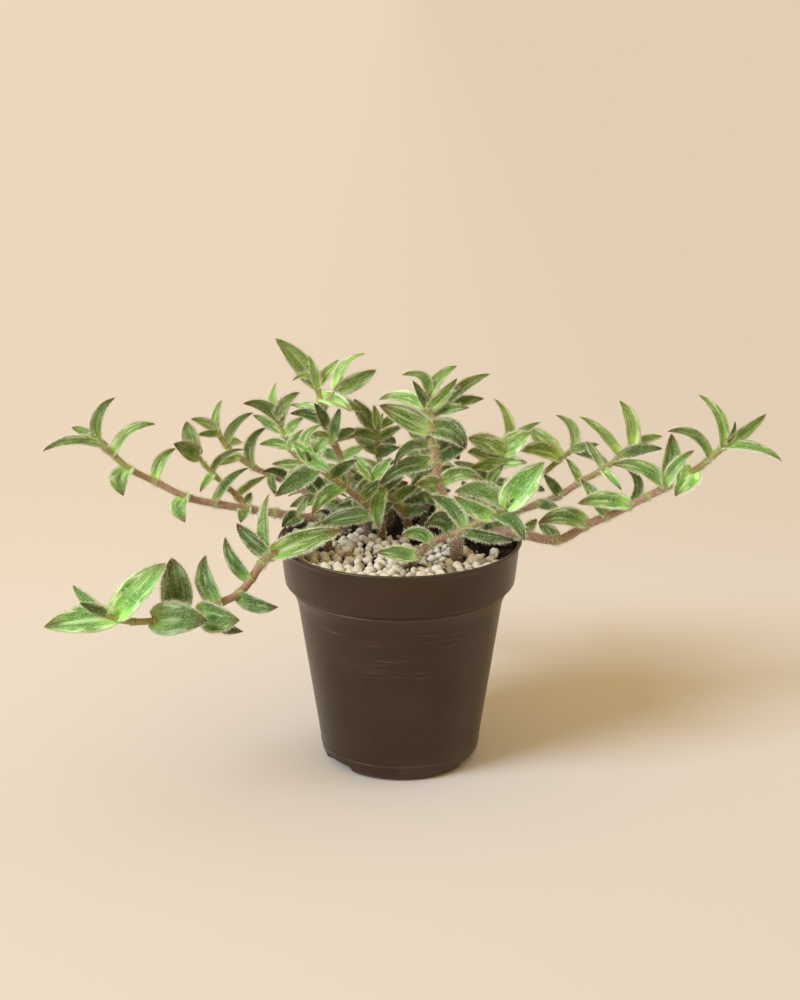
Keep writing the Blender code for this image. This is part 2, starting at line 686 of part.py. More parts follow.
def tube(name, run, home):
    """A shoot as a bevelled curve that thins towards its end."""
    curve = bpy.data.curves.new(name, "CURVE")
    curve.dimensions = "3D"
    curve.bevel_depth = 1.0
    curve.bevel_resolution = 1
    curve.use_fill_caps = True
    spline = curve.splines.new("POLY")
    path = run["path"]
    spline.points.add(len(path) - 1)
    for index, point in enumerate(path):
        share = index / (len(path) - 1)
        spline.points[index].co = (*point, 1.0)
        spline.points[index].radius = run["girth"] * MM / 2 * taper(share)
    guide = add_object(name + "_guide", curve, home)
    mesh = baked(guide)
    bpy.data.objects.remove(guide, do_unlink=True)
    form = bmesh.new()
    form.from_mesh(mesh)
    bmesh.ops.remove_doubles(form, verts=form.verts, dist=0.00002)
    bmesh.ops.recalc_face_normals(form, faces=form.faces)
    bmesh.ops.triangulate(form, faces=form.faces)
    form.to_mesh(mesh)
    form.free()
    return mesh


def square_to(vector, axis):
    """What is left of a vector beside an axis, at unit length."""
    rest = vector - vector.dot(axis) * axis
    return rest.normalized() if rest.length > 1e-6 else axis.orthogonal().normalized()


def leaf_layout(leaf, node, heading, seen, bend):
    """A leaf's base, the point it arches round, its tip, its upper side and its half width."""
    base = place(node, seen)
    if seen == "above":
        tip = place((leaf[0], leaf[1], leaf[2] + bend), seen)
        towards = UP
        apparent = leaf[3]
    else:
        tip = place((leaf[0], leaf[1], node[2] + leaf[2] + bend), seen)
        towards = TO_VIEWER
        apparent = leaf[3]
    along = (tip - base).normalized()
    length = (tip - base).length
    base = base - along * 0.4 * MM
    width = min(WIDEST_MM, max(NARROWEST_MM, abs(apparent), SLENDERNESS * length / MM))
    facing = min(0.96, abs(apparent) / width) * (1 if apparent > 0 else -1)
    beside = math.sqrt(1 - facing**2)
    front = square_to(towards, along)
    middle = (base + tip) / 2
    if len(leaf) > 4:
        if seen == "above":
            via = Vector((leaf[4] * MM, leaf[5] * MM, middle.z))
        else:
            via = place((leaf[4], leaf[5], node[2] + 0.5 * (leaf[2] + bend)), seen)
        bulge = via - middle
        bulge -= bulge.dot(along) * along
        edge = square_to(bulge, front)
        bulge *= max(0.0, 1.0 - ARCH_EASE / max(ARCH_EASE, bulge.length))
        edge = square_to(edge, along)
        face = (front * facing + edge * beside).normalized()
        slack = 1.0 - 0.055 * max(0.0, abs(apparent) - 4.0)
        pull = middle + 2 * bulge * slack + face * 0.04 * length
    else:
        edge = square_to(square_to(heading + 0.5 * UP, along), front)
        face = (front * facing + edge * beside).normalized()
        pull = middle + 2 * USUAL_ARCH * length * face
    return base, pull, tip, face, width / 2 * MM


def leaf_blade(layout, grow=0.0, first=0):
    """The blade's points and triangles: a lofted, shallow boat that ends in a point."""
    base, pull, tip, face, half = layout
    points = []
    for share, breadth, thick in STATIONS[first:]:
        centre = base * (1 - share) ** 2 + pull * 2 * share * (1 - share) + tip * share**2
        along = ((pull - base) * (1 - share) + (tip - pull) * share).normalized()
        up = square_to(face, along)
        side = along.cross(up)
        reach = half * breadth + grow
        rise = half * breadth * TROUGH
        depth = thick * MM + grow
        points.append(centre - side * reach + up * rise)
        points.append(centre + up * depth)
        points.append(centre + side * reach + up * rise)
        points.append(centre - up * depth)
    points.append(tip)
    rings = len(points) // 4
    faces = [(0, 3, 1), (2, 1, 3)]
    for ring in range(rings - 1):
        left, top, right, under = range(4 * ring, 4 * ring + 4)
        far_left, far_top, far_right, far_under = range(4 * ring + 4, 4 * ring + 8)
        faces += [(left, top, far_top), (left, far_top, far_left)]
        faces += [(top, right, far_top), (right, far_right, far_top)]
        faces += [(right, under, far_under), (right, far_under, far_right)]
        faces += [(under, left, far_under), (left, far_left, far_under)]
    last = 4 * (rings - 1)
    end = len(points) - 1
    for corner in range(4):
        faces.append((last + corner, last + (corner + 1) % 4, end))
    return points, faces


def tree_of(points, faces):
    return BVHTree.FromPolygons([tuple(p) for p in points], faces)


def mesh_tree(mesh):
    return tree_of([v.co for v in mesh.vertices], [tuple(p.vertices) for p in mesh.polygons])


def box_of(points):
    low = [min(p[axis] for p in points) for axis in range(3)]
    high = [max(p[axis] for p in points) for axis in range(3)]
    return low, high


def boxes_meet(one, other):
    return all(one[0][i] <= other[1][i] and other[0][i] <= one[1][i] for i in range(3))


def no_go_bodies():
    """Plain stand-ins for the pot's collar and for the top of its dressing."""
    bodies = []
    rings = [(0.0, SOIL_TOP), (0.0, SOIL_TOP + 0.0086)], inner_profile()[3:] + outer_profile()[:8]
    for profile in rings:
        points = []
        sides = 40
        if profile[0][0] == 0.0:
            reach = inner_radius(SOIL_TOP + 0.008)
            profile = [(reach, SOIL_TOP + 0.0086), (0.0001, SOIL_TOP + 0.0086)]
        for turn in range(sides):
            angle = 2 * math.pi * turn / sides
            points += [Vector((r * math.cos(angle), r * math.sin(angle), z)) for r, z in profile]
        size = len(profile)
        faces = []
        for turn in range(sides):
            after = (turn + 1) % sides
            for step in range(size - 1):
                corner = turn * size + step
                beyond = after * size + step
                faces.append((corner, corner + 1, beyond + 1, beyond))
        bodies.append((None, box_of(points), tree_of(points, faces)))
    return bodies


def bent_clear(leaf, node, heading, seen, name, bodies, own):
    """The leaf's layout at the first bend that clears every other stem, and best its own too."""
    spare = None
    for bend in BENDS_MM:
        layout = leaf_layout(leaf, node, heading, seen, bend)
        points, faces = leaf_blade(layout, grow=BEND_ROOM_MM * MM)
        box = box_of(points)
        near = [tree for owner, other, tree in bodies if owner != name and boxes_meet(box, other)]
        trial = tree_of(points, faces)
        if any(trial.overlap(tree) for tree in near):
            continue
        spare = spare or layout
        outer = tree_of(*leaf_blade(layout, grow=0.0, first=1))
        if not any(outer.overlap(tree) for tree in own):
            return layout
    return spare


def make_stems(home):
    runs = {name: shoot_paths(stem) for name, stem in STEMS.items()}
    tubes = {
        name: [tube(name, run, home) for run in pair] for name, pair in runs.items()
    }
    bodies = no_go_bodies()
    for name, meshes in tubes.items():
        for mesh in meshes:
            bodies.append((name, box_of([v.co for v in mesh.vertices]), mesh_tree(mesh)))
    look = material("leaf_and_stem", "leafy_stem")
    for name, stem in STEMS.items():
        loose = new_collection(name + "_leaves")
        own = []
        for run in runs[name]:
            for (node, leaves), heading in zip(run["nodes"], run["headings"]):
                for leaf in leaves:
                    layout = bent_clear(leaf, node, heading, stem["seen"], name, bodies, own)
                    if layout is None:
                        print("no room for a leaf of", name, "at", node, leaf)
                        continue
                    points, faces = leaf_blade(layout)
                    bodies.append((name, box_of(points), tree_of(points, faces)))
                    own.append(tree_of(*leaf_blade(layout, first=1)))
                    mesh = bpy.data.meshes.new("leaf")
                    mesh.from_pydata(points, [], faces)
                    form = bmesh.new()
                    form.from_mesh(mesh)
                    bmesh.ops.recalc_face_normals(form, faces=form.faces)
                    form.to_mesh(mesh)
                    form.free()
                    add_object("leaf", mesh, loose)
        for mesh in tubes[name][1:]:
            add_object(name + "_side_shoot", mesh, loose)
        body = add_object(name, tubes[name][0], home)
        fuse(body, loose)
        body.data.materials.append(look)
        shade_round(body, 50)


def main():
    start_afresh()
    home = new_collection("potted_tradescantia")
    holes = cutter_collection("stem_hole_cutters")
    hole_cutters(holes)
    make_pot(home)
    make_soil(home, holes)
    make_dressing(home, holes)
    make_stems(home)


main()
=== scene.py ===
"""The look of a small potted tradescantia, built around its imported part.

Metres, +Z up. The origin is the middle of the pot's flat floor, on the surface that it stands on,
and the viewer stands on the -Y side. The stems' table and the rules that lay their leaves out are
the part's own, so every finer leaf here lies where its solid does.
"""

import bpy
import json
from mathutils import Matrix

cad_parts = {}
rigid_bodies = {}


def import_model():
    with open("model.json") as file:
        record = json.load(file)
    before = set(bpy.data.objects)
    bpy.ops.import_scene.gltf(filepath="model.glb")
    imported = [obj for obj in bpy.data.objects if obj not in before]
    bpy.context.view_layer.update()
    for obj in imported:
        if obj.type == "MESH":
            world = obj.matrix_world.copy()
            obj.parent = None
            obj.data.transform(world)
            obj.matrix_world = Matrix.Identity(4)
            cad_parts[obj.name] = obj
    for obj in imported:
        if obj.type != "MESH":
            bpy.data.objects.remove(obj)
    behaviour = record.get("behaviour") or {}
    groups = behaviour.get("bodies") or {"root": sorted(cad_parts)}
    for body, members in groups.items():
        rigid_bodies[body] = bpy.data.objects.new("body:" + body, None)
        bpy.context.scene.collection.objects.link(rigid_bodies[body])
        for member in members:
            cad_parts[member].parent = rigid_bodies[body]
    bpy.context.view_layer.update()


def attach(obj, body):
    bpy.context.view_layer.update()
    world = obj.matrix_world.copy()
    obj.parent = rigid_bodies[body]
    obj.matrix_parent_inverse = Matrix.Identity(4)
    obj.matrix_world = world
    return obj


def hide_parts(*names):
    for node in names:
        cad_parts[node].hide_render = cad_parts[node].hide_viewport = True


bl_info = {
    "name": "Potted tradescantia",
    "version": (1, 0, 0),
    "blender": (4, 5, 0),
    "location": "View3D > Sidebar > Tradescantia",
    "description": "Builds a trailing, downy tradescantia in a brown nursery pot",
    "category": "Add Mesh",
}

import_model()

import functools
import json
import math
import random

import bmesh
import bpy
from bpy.props import FloatProperty, FloatVectorProperty, IntProperty, PointerProperty
from mathutils import Matrix, Vector, noise
from mathutils.bvhtree import BVHTree

MM = 0.001
UP = Vector((0.0, 0.0, 1.0))

# Driving dimensions of the pot, in metres
RIM_DIAMETER = 0.120
POT_HEIGHT = 0.114
WALL = 0.0013
COLLAR_SIDE = 0.0585
COLLAR_FOOT = 0.0565
COLLAR_FOOT_Z = 0.0922
NECK_RADIUS = 0.0504
NECK_Z = 0.0812
FOOT_RADIUS = 0.0392
FOOT_Z = 0.0042
STAND_RADIUS = 0.0355

# Three drain notches through the bottom corner, at these turns from the front. They end this
# far from the pot's axis.
NOTCH_TURNS = (-54, 66, 186)
NOTCH_WIDTH = 0.021
NOTCH_HEIGHT = 0.0045
NOTCH_REACH = 0.0275
NOTCH_CORNER = 0.0012

# What fills the pot
SOIL_TOP = 0.1035
CLEARANCE = 0.0003
ROOT_DEPTH = 0.012

# Leaf proportions: shares of the length and of the half width, and half the thickness in mm
STATIONS = (
    (0.00, 0.20, 0.70),
    (0.34, 1.00, 0.55),
    (0.72, 0.78, 0.48),
)
TROUGH = 0.30
USUAL_ARCH = 0.06
ARCH_EASE = 0.0010
SLENDERNESS = 0.29
WIDEST_MM = 17.5
NARROWEST_MM = 4.0
FULLEST_FACING = 0.96
LEAF_SUNK_MM = 0.4

# The sketch frame: most stems and leaf tips below were drafted in millimetres as the viewer sees
# them from a little above the rim: to the right, up, and towards the viewer from its middle.
SKETCH_TILT = math.radians(17.26)
SKETCH_DISTANCE = 878.0
SKETCH_EYE_LEVEL = 17.7
TO_VIEWER = Vector((0.0, -math.cos(SKETCH_TILT), math.sin(SKETCH_TILT)))

# A leaf that would cross another stem's leaves, the rim or the dressing is bent clear of it:
# its tip moves towards the viewer or away by the first of these, in mm, that clears them.
BENDS_MM = (0, 3, -3, 6, -6, 9, -9, 12, -12, 16, -16, 20, -20, 25, -25, 30, -30)
BEND_ROOM_MM = 0.4
DRESSING_TOP = SOIL_TOP + 0.0086

# Every stem: where it stands in the pot (x, y) in mm, its thickness in mm, and its nodes from the
# pot outwards. A node is its place and its leaves. A leaf is its tip's place to the right and up,
# how much nearer than the node its tip is, and the width that is seen, negative where the
# underside shows. The last two numbers, where given, are a place that the leaf arches through.
# Stems seen "front" are in the sketch frame; those seen "above" are x, y and height over the rim.
STEMS = {
    "stem_left_long": dict(root=(-28, 15), girth=4.0, seen="front", nodes=(
        ((-39, 8, -14), ()),
        ((-50, 9, -13), ((-58, 4, 12, 9), (-45, 19, -6, 4))),
        ((-61, 11, -11), ()),
        ((-75, 13, -8), ((-73, 21, -7, 5), (-78, 6, 9, 7))),
        ((-90, 15.5, -4), ((-74, 33, -3, 5, -85.5, 25),)),
        ((-104.5, 18.8, -1), ((-105, 6.3, 14, 11, -110, 14),)),
        ((-119.5, 26.2, 0), ((-109.5, 42.7, -6, 6.5, -118.5, 36.5),)),
        ((-132, 32.3, 2), ((-135.3, 19.3, 13, 12, -139.3, 27),)),
        ((-140, 39, 3), ((-119.5, 54.5, 3, 6.5, -131.5, 53),)),
        ((-144, 42.5, 4), ((-175, 41, 4, 6, -160, 46.3),)),
        ((-147, 45.5, 4), ((-139.3, 67.5, -3, 7, -149.5, 57), (-161, 53, -9, 5))),
    ), shoots=(dict(start=4, girth=2.8, nodes=(
        ((-79.5, 19, -10), ((-65, 29, -6, 4),)),
        ((-86, 25, -11), ()),
        ((-91.5, 30, -11), ((-76, 42, -6, 4, -86, 39), (-98, 21, 8, 5))),
        ((-96, 35, -10), ()),
        ((-99, 39, -9), ((-111, 45, 10, 10), (-104.5, 56, -5, 10))),
    )),)),
    "stem_left_back": dict(root=(-31, 31), girth=3.4, seen="front", nodes=(
        ((-41, 18, -30), ((-45, 30, -8, 6), (-54, 14, 8, 7))),
        ((-54, 25, -31), ((-67.5, 31, 8, 5, -61, 33), (-49, 36, 8, 6))),
        ((-63, 29.5, -31), ((-60, 19, 12, 5),)),
        ((-72, 33.5, -31), ((-65, 53, -7, 6, -74, 45),)),
        ((-79, 38.5, -31), ((-90, 34, 10, 5),)),
        ((-85, 44, -31), ((-71.7, 60.2, -4, 5.5, -82, 53), (-78, 46, -18, 5))),
        ((-89, 49.5, -31), ((-102.7, 57, 4, 6, -95, 56), (-87, 66.5, -5, 5, -91, 57.5), (-100, 49, 10, 4))),
    )),
    "stem_left_inner": dict(root=(-19, 27), girth=3.4, seen="front", nodes=(
        ((-27, 14, -23), ((-41, 17, 5, 7), (-16, 19, 6, 7))),
        ((-38, 23, -20), ((-26, 33, -8, 7), (-46, 31, 9, 6))),
        ((-47.5, 34, -18), ((-63, 35, 4, 6), (-39, 44, -8, 6))),
        ((-53.5, 43, -16), ((-69, 44.5, 4, 6, -62, 46), (-47, 52, 9, 6))),
        ((-56.5, 49.5, -15), ((-72, 59, -6, 6), (-47, 58, 5, 6))),
        ((-58.5, 54.5, -14), ((-77, 64.5, 5, 7, -69, 66), (-49, 70, -5, 7, -56, 67))),
        ((-60, 58, -13), ((-60.5, 75, -3, 4.5, -63, 67), (-57, 66, 7, 5))),
    )),
    "stem_front_left_short": dict(root=(-9, 9), girth=3.3, seen="front", nodes=(
        ((-12, 10, 0), ((-3, 16, 8, 7), (-40.5, 4.3, 4, 9, -27, 10))),
        ((-19, 17, 9), ((-9, 27, -3, 7),)),
        ((-27, 23.5, 17), ((-43, 9.5, 7, 8, -38, 20), (-30, 35, -7, 6))),
        ((-34, 28.5, 24), ((-21, 37, 3, 6),)),
        ((-40, 33, 29), ((-61, 19, 5, 10, -50.5, 27.5), (-48, 44, -9, 6))),
        ((-44, 37, 33), (
            (-52.5, 46, 3, 8.5), (-35.5, 48, -3, 9), (-34.5, 31, 9, 8), (-38, 54, -7, 6, -46, 52),
        )),
    )),
    "stem_tall_left": dict(root=(-16, 16), girth=4.0, seen="front", nodes=(
        ((-19, 14, -12), ((-31, 14, 8, 7), (-8, 18, -5, 7))),
        ((-24, 25, -8), ((-12, 32, -7, 6), (-37, 29, 8, 6))),
        ((-28.5, 37, -5), ((-44, 42, -9, 7), (-17, 44, 6, 7))),
        ((-33, 46.5, -2), ((-29, 63, 7, 6), (-47, 49, 9, 7), (-22, 52, -7, 6))),
        ((-36, 53.5, -1), ((-54, 59.5, 3, 6.5, -45, 60.5), (-42, 65, 10, 6))),
        ((-38, 61, 0), ((-54, 63.8, -8, 5),)),
        ((-39, 67, 1), ((-24, 60.5, 9, 8.5, -30, 67),)),
        ((-40.5, 72, 1), (
            (-61.3, 96.5, 2, 11, -49.5, 87), (-44.5, 88, 6, 5),
            (-30, 86, -4, 6), (-53, 75.5, 7, 4, -47, 79.5),
        )),
    ), shoots=(dict(start=6, girth=2.8, nodes=(
        ((-34.5, 67, 3), ((-19, 61, -8, 6),)),
        ((-31, 71, 4), (
            (-11.5, 81.2, 3, 9, -20.5, 75.7), (-17, 89, -6, 5, -27, 84),
        )),
    )),)),
    "stem_behind_centre": dict(root=(-5, 31), girth=3.4, seen="front", nodes=(
        ((-7, 20, -27), ((4, 26, -5, 7), (-18, 22, 8, 7), (6, 16, 7, 8), (-19, 12, 10, 7))),
        ((-9, 31, -24), ((-29, 36, 5, 7, -20, 36), (3, 36, 6, 7), (-20, 28, 12, 7))),
        ((-10.5, 40, -21), ((0, 43, 14, 7), (-22, 48, -10, 7))),
        ((-11, 47, -19), ((-31, 45.5, 6, 6, -20, 51), (2, 54, 4, 5), (-2, 46, -10, 6))),
        ((-11, 52.5, -18), ((-22.5, 67, -3, 8.5, -19.5, 60.5), (1, 59, -6, 5), (-13, 64, 6, 5))),
    )),
    "stem_centre_short": dict(root=(4, 14), girth=3.6, seen="front", nodes=(
        ((2, 11, -9), ((14, 13, 8, 7), (-6, 19, -6, 6))),
        ((-3, 17, -4), ((8, 24, -3, 7),)),
        ((-8, 22, 1), ((-10, 2.5, 12, 8.5, -12, 14), (4, 33, -5, 7))),
        ((-13, 27, 3), ((-20.5, 9.5, 10, 8.5, -20, 20), (-23, 39, -4, 7), (-4, 38, 6, 7))),
    )),
    "stem_behind_right": dict(root=(12, 31), girth=3.2, seen="front", nodes=(
        ((13, 19, -29), ((25, 22, 5, 8), (3, 23, -6, 7), (1, 14, 11, 8), (26, 13, 10, 7))),
        ((13, 28, -27), ((28, 33, -5, 7), (1, 33, 5, 7), (5, 19, 10, 9))),
        ((12, 36, -25), ((25, 41, 6, 7), (-1, 44, -4, 6), (20, 49, -6, 6))),
        ((11, 43, -24), ((22, 53, 4, 6), (3, 55, 2, 6))),
    )),
    "stem_tall_right": dict(root=(27, -21), girth=6.4, seen="front", nodes=(
        ((22, 13, 17), ((35, 18, 3, 7),)),
        ((18.5, 24, 14), ((7.5, 25, 12, 9.5), (41, 26, -3, 8, 30, 32))),
        ((17, 35, 12), ((-10.6, 24.2, 4, 9, 3, 35.5), (32.5, 44, -8, 7))),
        ((16, 43, 10), ((-3, 33.5, 7, 5.5, 6, 45), (29, 37, -6, 9, 24, 44))),
        ((15, 51, 9), ((-10.4, 63.8, 4, 12.5, 1.3, 58.5), (32.5, 42.3, 5, 12.5, 26, 55))),
        ((14, 57, 8), ()),
        ((13.5, 62, 8), ((-10.4, 66.5, -5, 8, 0, 69.6), (28, 77, 7, 7, 23, 70), (6, 76, 6, 5))),
        ((14, 67, 7), ((28, 83, -3, 7, 18.5, 78), (0.6, 78.4, -2, 6, 8, 82))),
    ), shoots=(dict(start=6, girth=3.0, nodes=(
        ((18, 60.5, 4), ((34, 62.5, 8, 6),)),
        ((22, 64, 1), ((41.2, 67, -4, 6, 30.5, 65.5), (44.5, 79, -7, 6, 33, 74), (31, 72, 8, 5))),
    )),)),
    "stem_front_right": dict(root=(6, -33), girth=4.1, seen="front", nodes=(
        ((8.5, -10, 34), ((-11.5, -8.2, 4, 8.5, -2.5, -9),)),
        ((15, -4, 35), ((0, -0.8, 5, 7, 9, 2.5),)),
        ((24, 0, 36.5), ((12, 4.5, 7, 9.5, 17.5, 12),)),
        ((31, 2.6, 38), ((14.6, 19.2, 3, 8, 22, 19.5), (56.5, -2, 5, 6, 44, -0.5))),
        ((39, 6.4, 40), ()),
        ((46, 9.8, 41.5), ((26.2, 19.5, 9, 9, 36.5, 12.5), (61, -3, 8, 7.5, 57.5, 7))),
        ((52, 13.5, 42.5), ((70.7, 36, 2, 15, 60.5, 26.5), (26.4, 21, -3, 10, 40, 24.6))),
    )),
    "stem_right_long": dict(root=(28, 2), girth=4.4, seen="front", nodes=(
        ((44, 1.5, 8), ((52, 10, -8, 6), (37, 11, 7, 7))),
        ((58, 0.8, 14), ((67, 8, -6, 6),)),
        ((77, -2.2, 17), ((68, 6, -7, 7),)),
        ((91, 5, 17), ((67.5, 6, 7, 10.5, 79, 11.5),)),
        ((101, 9.2, 17), ((88, 28, -6, 7.5),)),
        ((112, 14.5, 17), ((86.7, 15.4, 7, 10, 98.6, 19), (108, 34.5, -7, 5.5, 117, 27))),
        ((121, 19, 17), ()),
        ((130, 23.5, 17), (
            (103, 34.6, 3, 9, 116.4, 35.6), (132.8, 49.9, -4, 11), (144.3, 41.8, 3, 7, 135, 36),
        )),
        ((143, 30.8, 17), ((134.5, 19, 13, 12),)),
        ((151, 36.9, 17), ((130.6, 50.8, 3, 6, 142.7, 50.8),)),
        ((157, 42.5, 17), ((145.5, 69, -3, 7, 155, 62), (187, 36.3, 5, 6, 172, 43.3))),
        ((160, 45.5, 17), ((179.4, 59.8, -3, 6, 170.5, 52.6), (164, 56, 4, 3))),
    )),
    "stem_right_second": dict(root=(27, 20), girth=3.8, seen="front", nodes=(
        ((43, 9.5, -17), ((50, 21, -6, 6), (35, 19, 6, 6))),
        ((58, 12.5, -15), ((53, 23, 6, 6),)),
        ((68, 15.5, -15), ((79, 12, 8, 6),)),
        ((78, 19.5, -15), ((70, 30, 6, 6),)),
        ((88, 26, -15), ((81, 38, 7, 5),)),
        ((99, 32, -15), ((108.5, 22, 10, 5), (91, 46, -9, 5))),
        ((107, 38, -15), ((87.6, 58.2, -4, 6.5, 100, 49), (129, 42.3, 6, 6, 118, 42.6))),
        ((113, 43.5, -15), ((107.2, 66.2, -3, 9, 114, 56.5), (128.4, 48.5, -8, 5))),
    )),
    "stem_right_third": dict(root=(24, 34), girth=3.4, seen="front", nodes=(
        ((36, 15, -31), ((30, 27, 3, 7), (46, 25, 6, 6))),
        ((48, 19.5, -29), ((44, 33, -8, 6),)),
        ((60, 24.5, -28), ((71, 22, -9, 5),)),
        ((70, 30.5, -28), ((59, 32, 9, 6),)),
        ((78, 37, -28), ((60.8, 52.8, -6, 9.5, 70, 48.3), (58, 41.5, 7, 9, 68, 43.5))),
        ((84, 41.5, -28), ((76, 59, -3, 6, 86, 52), (97.5, 44.6, 4, 5), (103.3, 33, -6, 6, 94, 39.8))),
    )),
    "stem_right_inner": dict(root=(38, 12), girth=3.6, seen="front", nodes=(
        ((40, 17, -10), ((52, 17, 7, 6), (28, 20, 5, 8))),
        ((44, 26, -9), ((26, 36, -5, 6, 34, 34), (57, 24, -4, 6), (51, 35, 9, 6))),
        ((48.5, 35, -9), ((62.5, 35.5, 8, 7.5), (35, 33, 7, 7), (33, 41, -7, 9, 40, 41.5))),
        ((51, 41, -9), (
            (33, 47.5, -4, 10, 42, 46.5), (64.3, 50.5, 7, 12, 57, 47), (41, 47, 9, 7),
            (46, 67, -3, 5.5, 53, 56), (69, 55.5, -8, 5),
        )),
    )),
    "stem_front_left_long": dict(root=(-35, -8), girth=4.2, seen="front", nodes=(
        ((-45, -2.5, 20), ((-38, 7, 5, 7),)),
        ((-55, -5.5, 28), ()),
        ((-63.5, -10, 33), ((-28, 2.5, -7, 12, -47.5, -1.8), (-64, 20.5, -6, 6, -67, 10), (-80, 6, -8, 9))),
        ((-68, -14, 37), ()),
        ((-73, -21.5, 40), ((-85.6, -0.6, -4, 7.5, -83.5, -11.5),)),
        ((-79, -28.5, 43), ((-59.5, -35, 7, 9, -70.5, -35),)),
        ((-88, -33, 47), ((-95, -9.5, -5, 10, -98, -21), (-76.5, -47, 10, 8, -88, -45))),
        ((-98, -37, 50), ((-78.3, -41.5, 8, 16, -88, -40.5),)),
        ((-109, -39.5, 53), ((-111.8, -10.8, -7, 15.5, -109, -25),)),
        ((-120.5, -41.8, 56), ((-94, -42, 9, 17.5, -107, -40.5),)),
        ((-131, -42.2, 59), ()),
        ((-139, -40.8, 61), ((-114.5, -13.7, -5, 16, -129.5, -26), (-174.5, -45, 6, 14.5, -158, -40.5))),
        ((-144, -38.5, 62), ((-160.2, -24.2, -6, 7, -152, -33.5), (-157, -33, 9, 5))),
    )),
    "stem_back_left": dict(root=(-15, 42), girth=3.6, seen="above", nodes=(
        ((-17, 53, 8), ((-30, 62, 14, 7),)),
        ((-22, 65, 11), ((-6, 74, 15, 8), (-36, 60, 14, 7))),
        ((-28, 77, 10), ((-46, 72, 13, 8, -37, 73), (-18, 92, 12, 7))),
        ((-34, 88, 5), ((-17, 99, 4, 8), (-50, 98, 7, 8))),
        ((-39, 97, -2), ((-58, 92, -6, 8), (-29, 113, -4, 8))),
        ((-43, 104, -9), ((-62, 110, -14, 8), (-40, 126, -19, 7, -42, 116), (-28, 104, -13, 6))),
    )),
    "stem_back_right": dict(root=(7, 43), girth=3.6, seen="above", nodes=(
        ((11, 54, 8), ((0, 66, 13, 7),)),
        ((18, 66, 11), ((3, 78, 14, 8), (36, 68, 14, 7))),
        ((27, 78, 10), ((45, 74, 12, 8), (18, 95, 11, 8))),
        ((36, 89, 5), ((20, 103, 3, 8), (55, 92, 6, 8))),
        ((43, 98, -2), ((62, 94, -7, 8), (36, 116, -6, 8))),
        ((48, 105, -10), ((66, 114, -17, 8), (47, 128, -20, 7, 48, 117), (31, 104, -14, 6))),
    )),
}

# What a user would change


def colour_property(name, description, default):
    return FloatVectorProperty(
        name=name, description=description, subtype="COLOR", size=3, min=0.0, max=1.0, default=default
    )


def length_property(name, description, default):
    return FloatProperty(
        name=name, description=description, subtype="DISTANCE", unit="LENGTH", min=0.0, default=default,
        precision=5,
    )


class PotSettings(bpy.types.PropertyGroup):
    colour: colour_property("Plastic", "Colour of the pot's plastic", (0.0255, 0.0156, 0.0120))
    # The scuff colour also paints the highlights along the lip and under the collar
    scuff_and_highlight_colour: colour_property("Scuffs", "Colour of the rubbed plastic", (0.130, 0.092, 0.070))
    roughness: FloatProperty(
        name="Roughness", description="How dull the plastic is", subtype="FACTOR", min=0, max=1, default=0.34
    )
    sides: IntProperty(name="Sides", description="Steps round the pot", min=24, max=360, default=160)
    corner: length_property("Corner radius", "How rounded the moulded corners are", 0.0009)


class FillSettings(bpy.types.PropertyGroup):
    soil_colour: colour_property("Soil", "Colour of the moist soil", (0.016, 0.010, 0.006))
    pale_granule: colour_property("Pale granules", "Colour of the palest pumice", (0.98, 0.91, 0.84))
    dark_granule: colour_property("Dark granules", "Colour of the darkest pumice", (0.30, 0.22, 0.13))
    # The colour that the pumice is painted low down, under and between the granules: painted shade
    granule_shade_colour: colour_property(
        "Damp granules", "Colour of the pumice's damp undersides", (0.055, 0.036, 0.020)
    )
    smallest: length_property("Smallest granule", "Across the smallest pumice granule", 0.0042)
    largest: length_property("Largest granule", "Across the largest pumice granule", 0.0066)
    spacing: length_property("Granule spacing", "Least distance between granules' middles", 0.0052)
    seed: IntProperty(name="Seed", description="Draw of the granules", default=7)


class LeafSettings(bpy.types.PropertyGroup):
    lime: colour_property("Lime", "Colour of a leaf's root and of young leaves", (0.31, 0.54, 0.10))
    green: colour_property("Green", "Colour of a grown blade", (0.044, 0.124, 0.017))
    silver: colour_property("Silver", "Colour of the pale streaks", (0.66, 0.79, 0.52))
    olive: colour_property("Olive", "Colour of the underside", (0.17, 0.22, 0.045))
    worn: colour_property("Worn", "Colour of the oldest leaves", (0.13, 0.10, 0.030))
    purple: colour_property("Purple", "Colour of the tips and the sunned edges", (0.15, 0.075, 0.045))
    margin: colour_property("Margin", "Colour of the blade's thin edge", (0.72, 0.80, 0.54))
    thickness: length_property("Thickness", "Half the blade's thickness at its middle", 0.00036)


class StalkSettings(bpy.types.PropertyGroup):
    bark: colour_property("Stalk", "Colour between the nodes", (0.365, 0.205, 0.165))
    young: colour_property("Young stalk", "Colour near the shoots' tips", (0.32, 0.32, 0.08))
    ring: colour_property("Node", "Colour of the rings at the nodes", (0.50, 0.46, 0.20))
    sheath: colour_property("Sheath", "Colour of the sheaths round the nodes", (0.38, 0.37, 0.14))
    swelling: FloatProperty(name="Swelling", description="How much a node swells", min=0, max=1, default=0.15)


class DownSettings(bpy.types.PropertyGroup):
    colour: colour_property("Hairs", "Colour of the soft hairs", (0.88, 0.92, 0.76))
    density: FloatProperty(
        name="Density", description="Hairs on a square millimetre of margin", min=0, max=20, default=8.5
    )
    length: length_property("Length", "Length of a long hair", 0.0019)
    thickness: length_property("Thickness", "Thickness of a hair at its root", 0.00021)
    spread: FloatProperty(name="Spread", description="How unruly the hairs are", min=0, max=2, default=0.45)
    seed: IntProperty(name="Seed", description="Draw of the hairs", default=3)


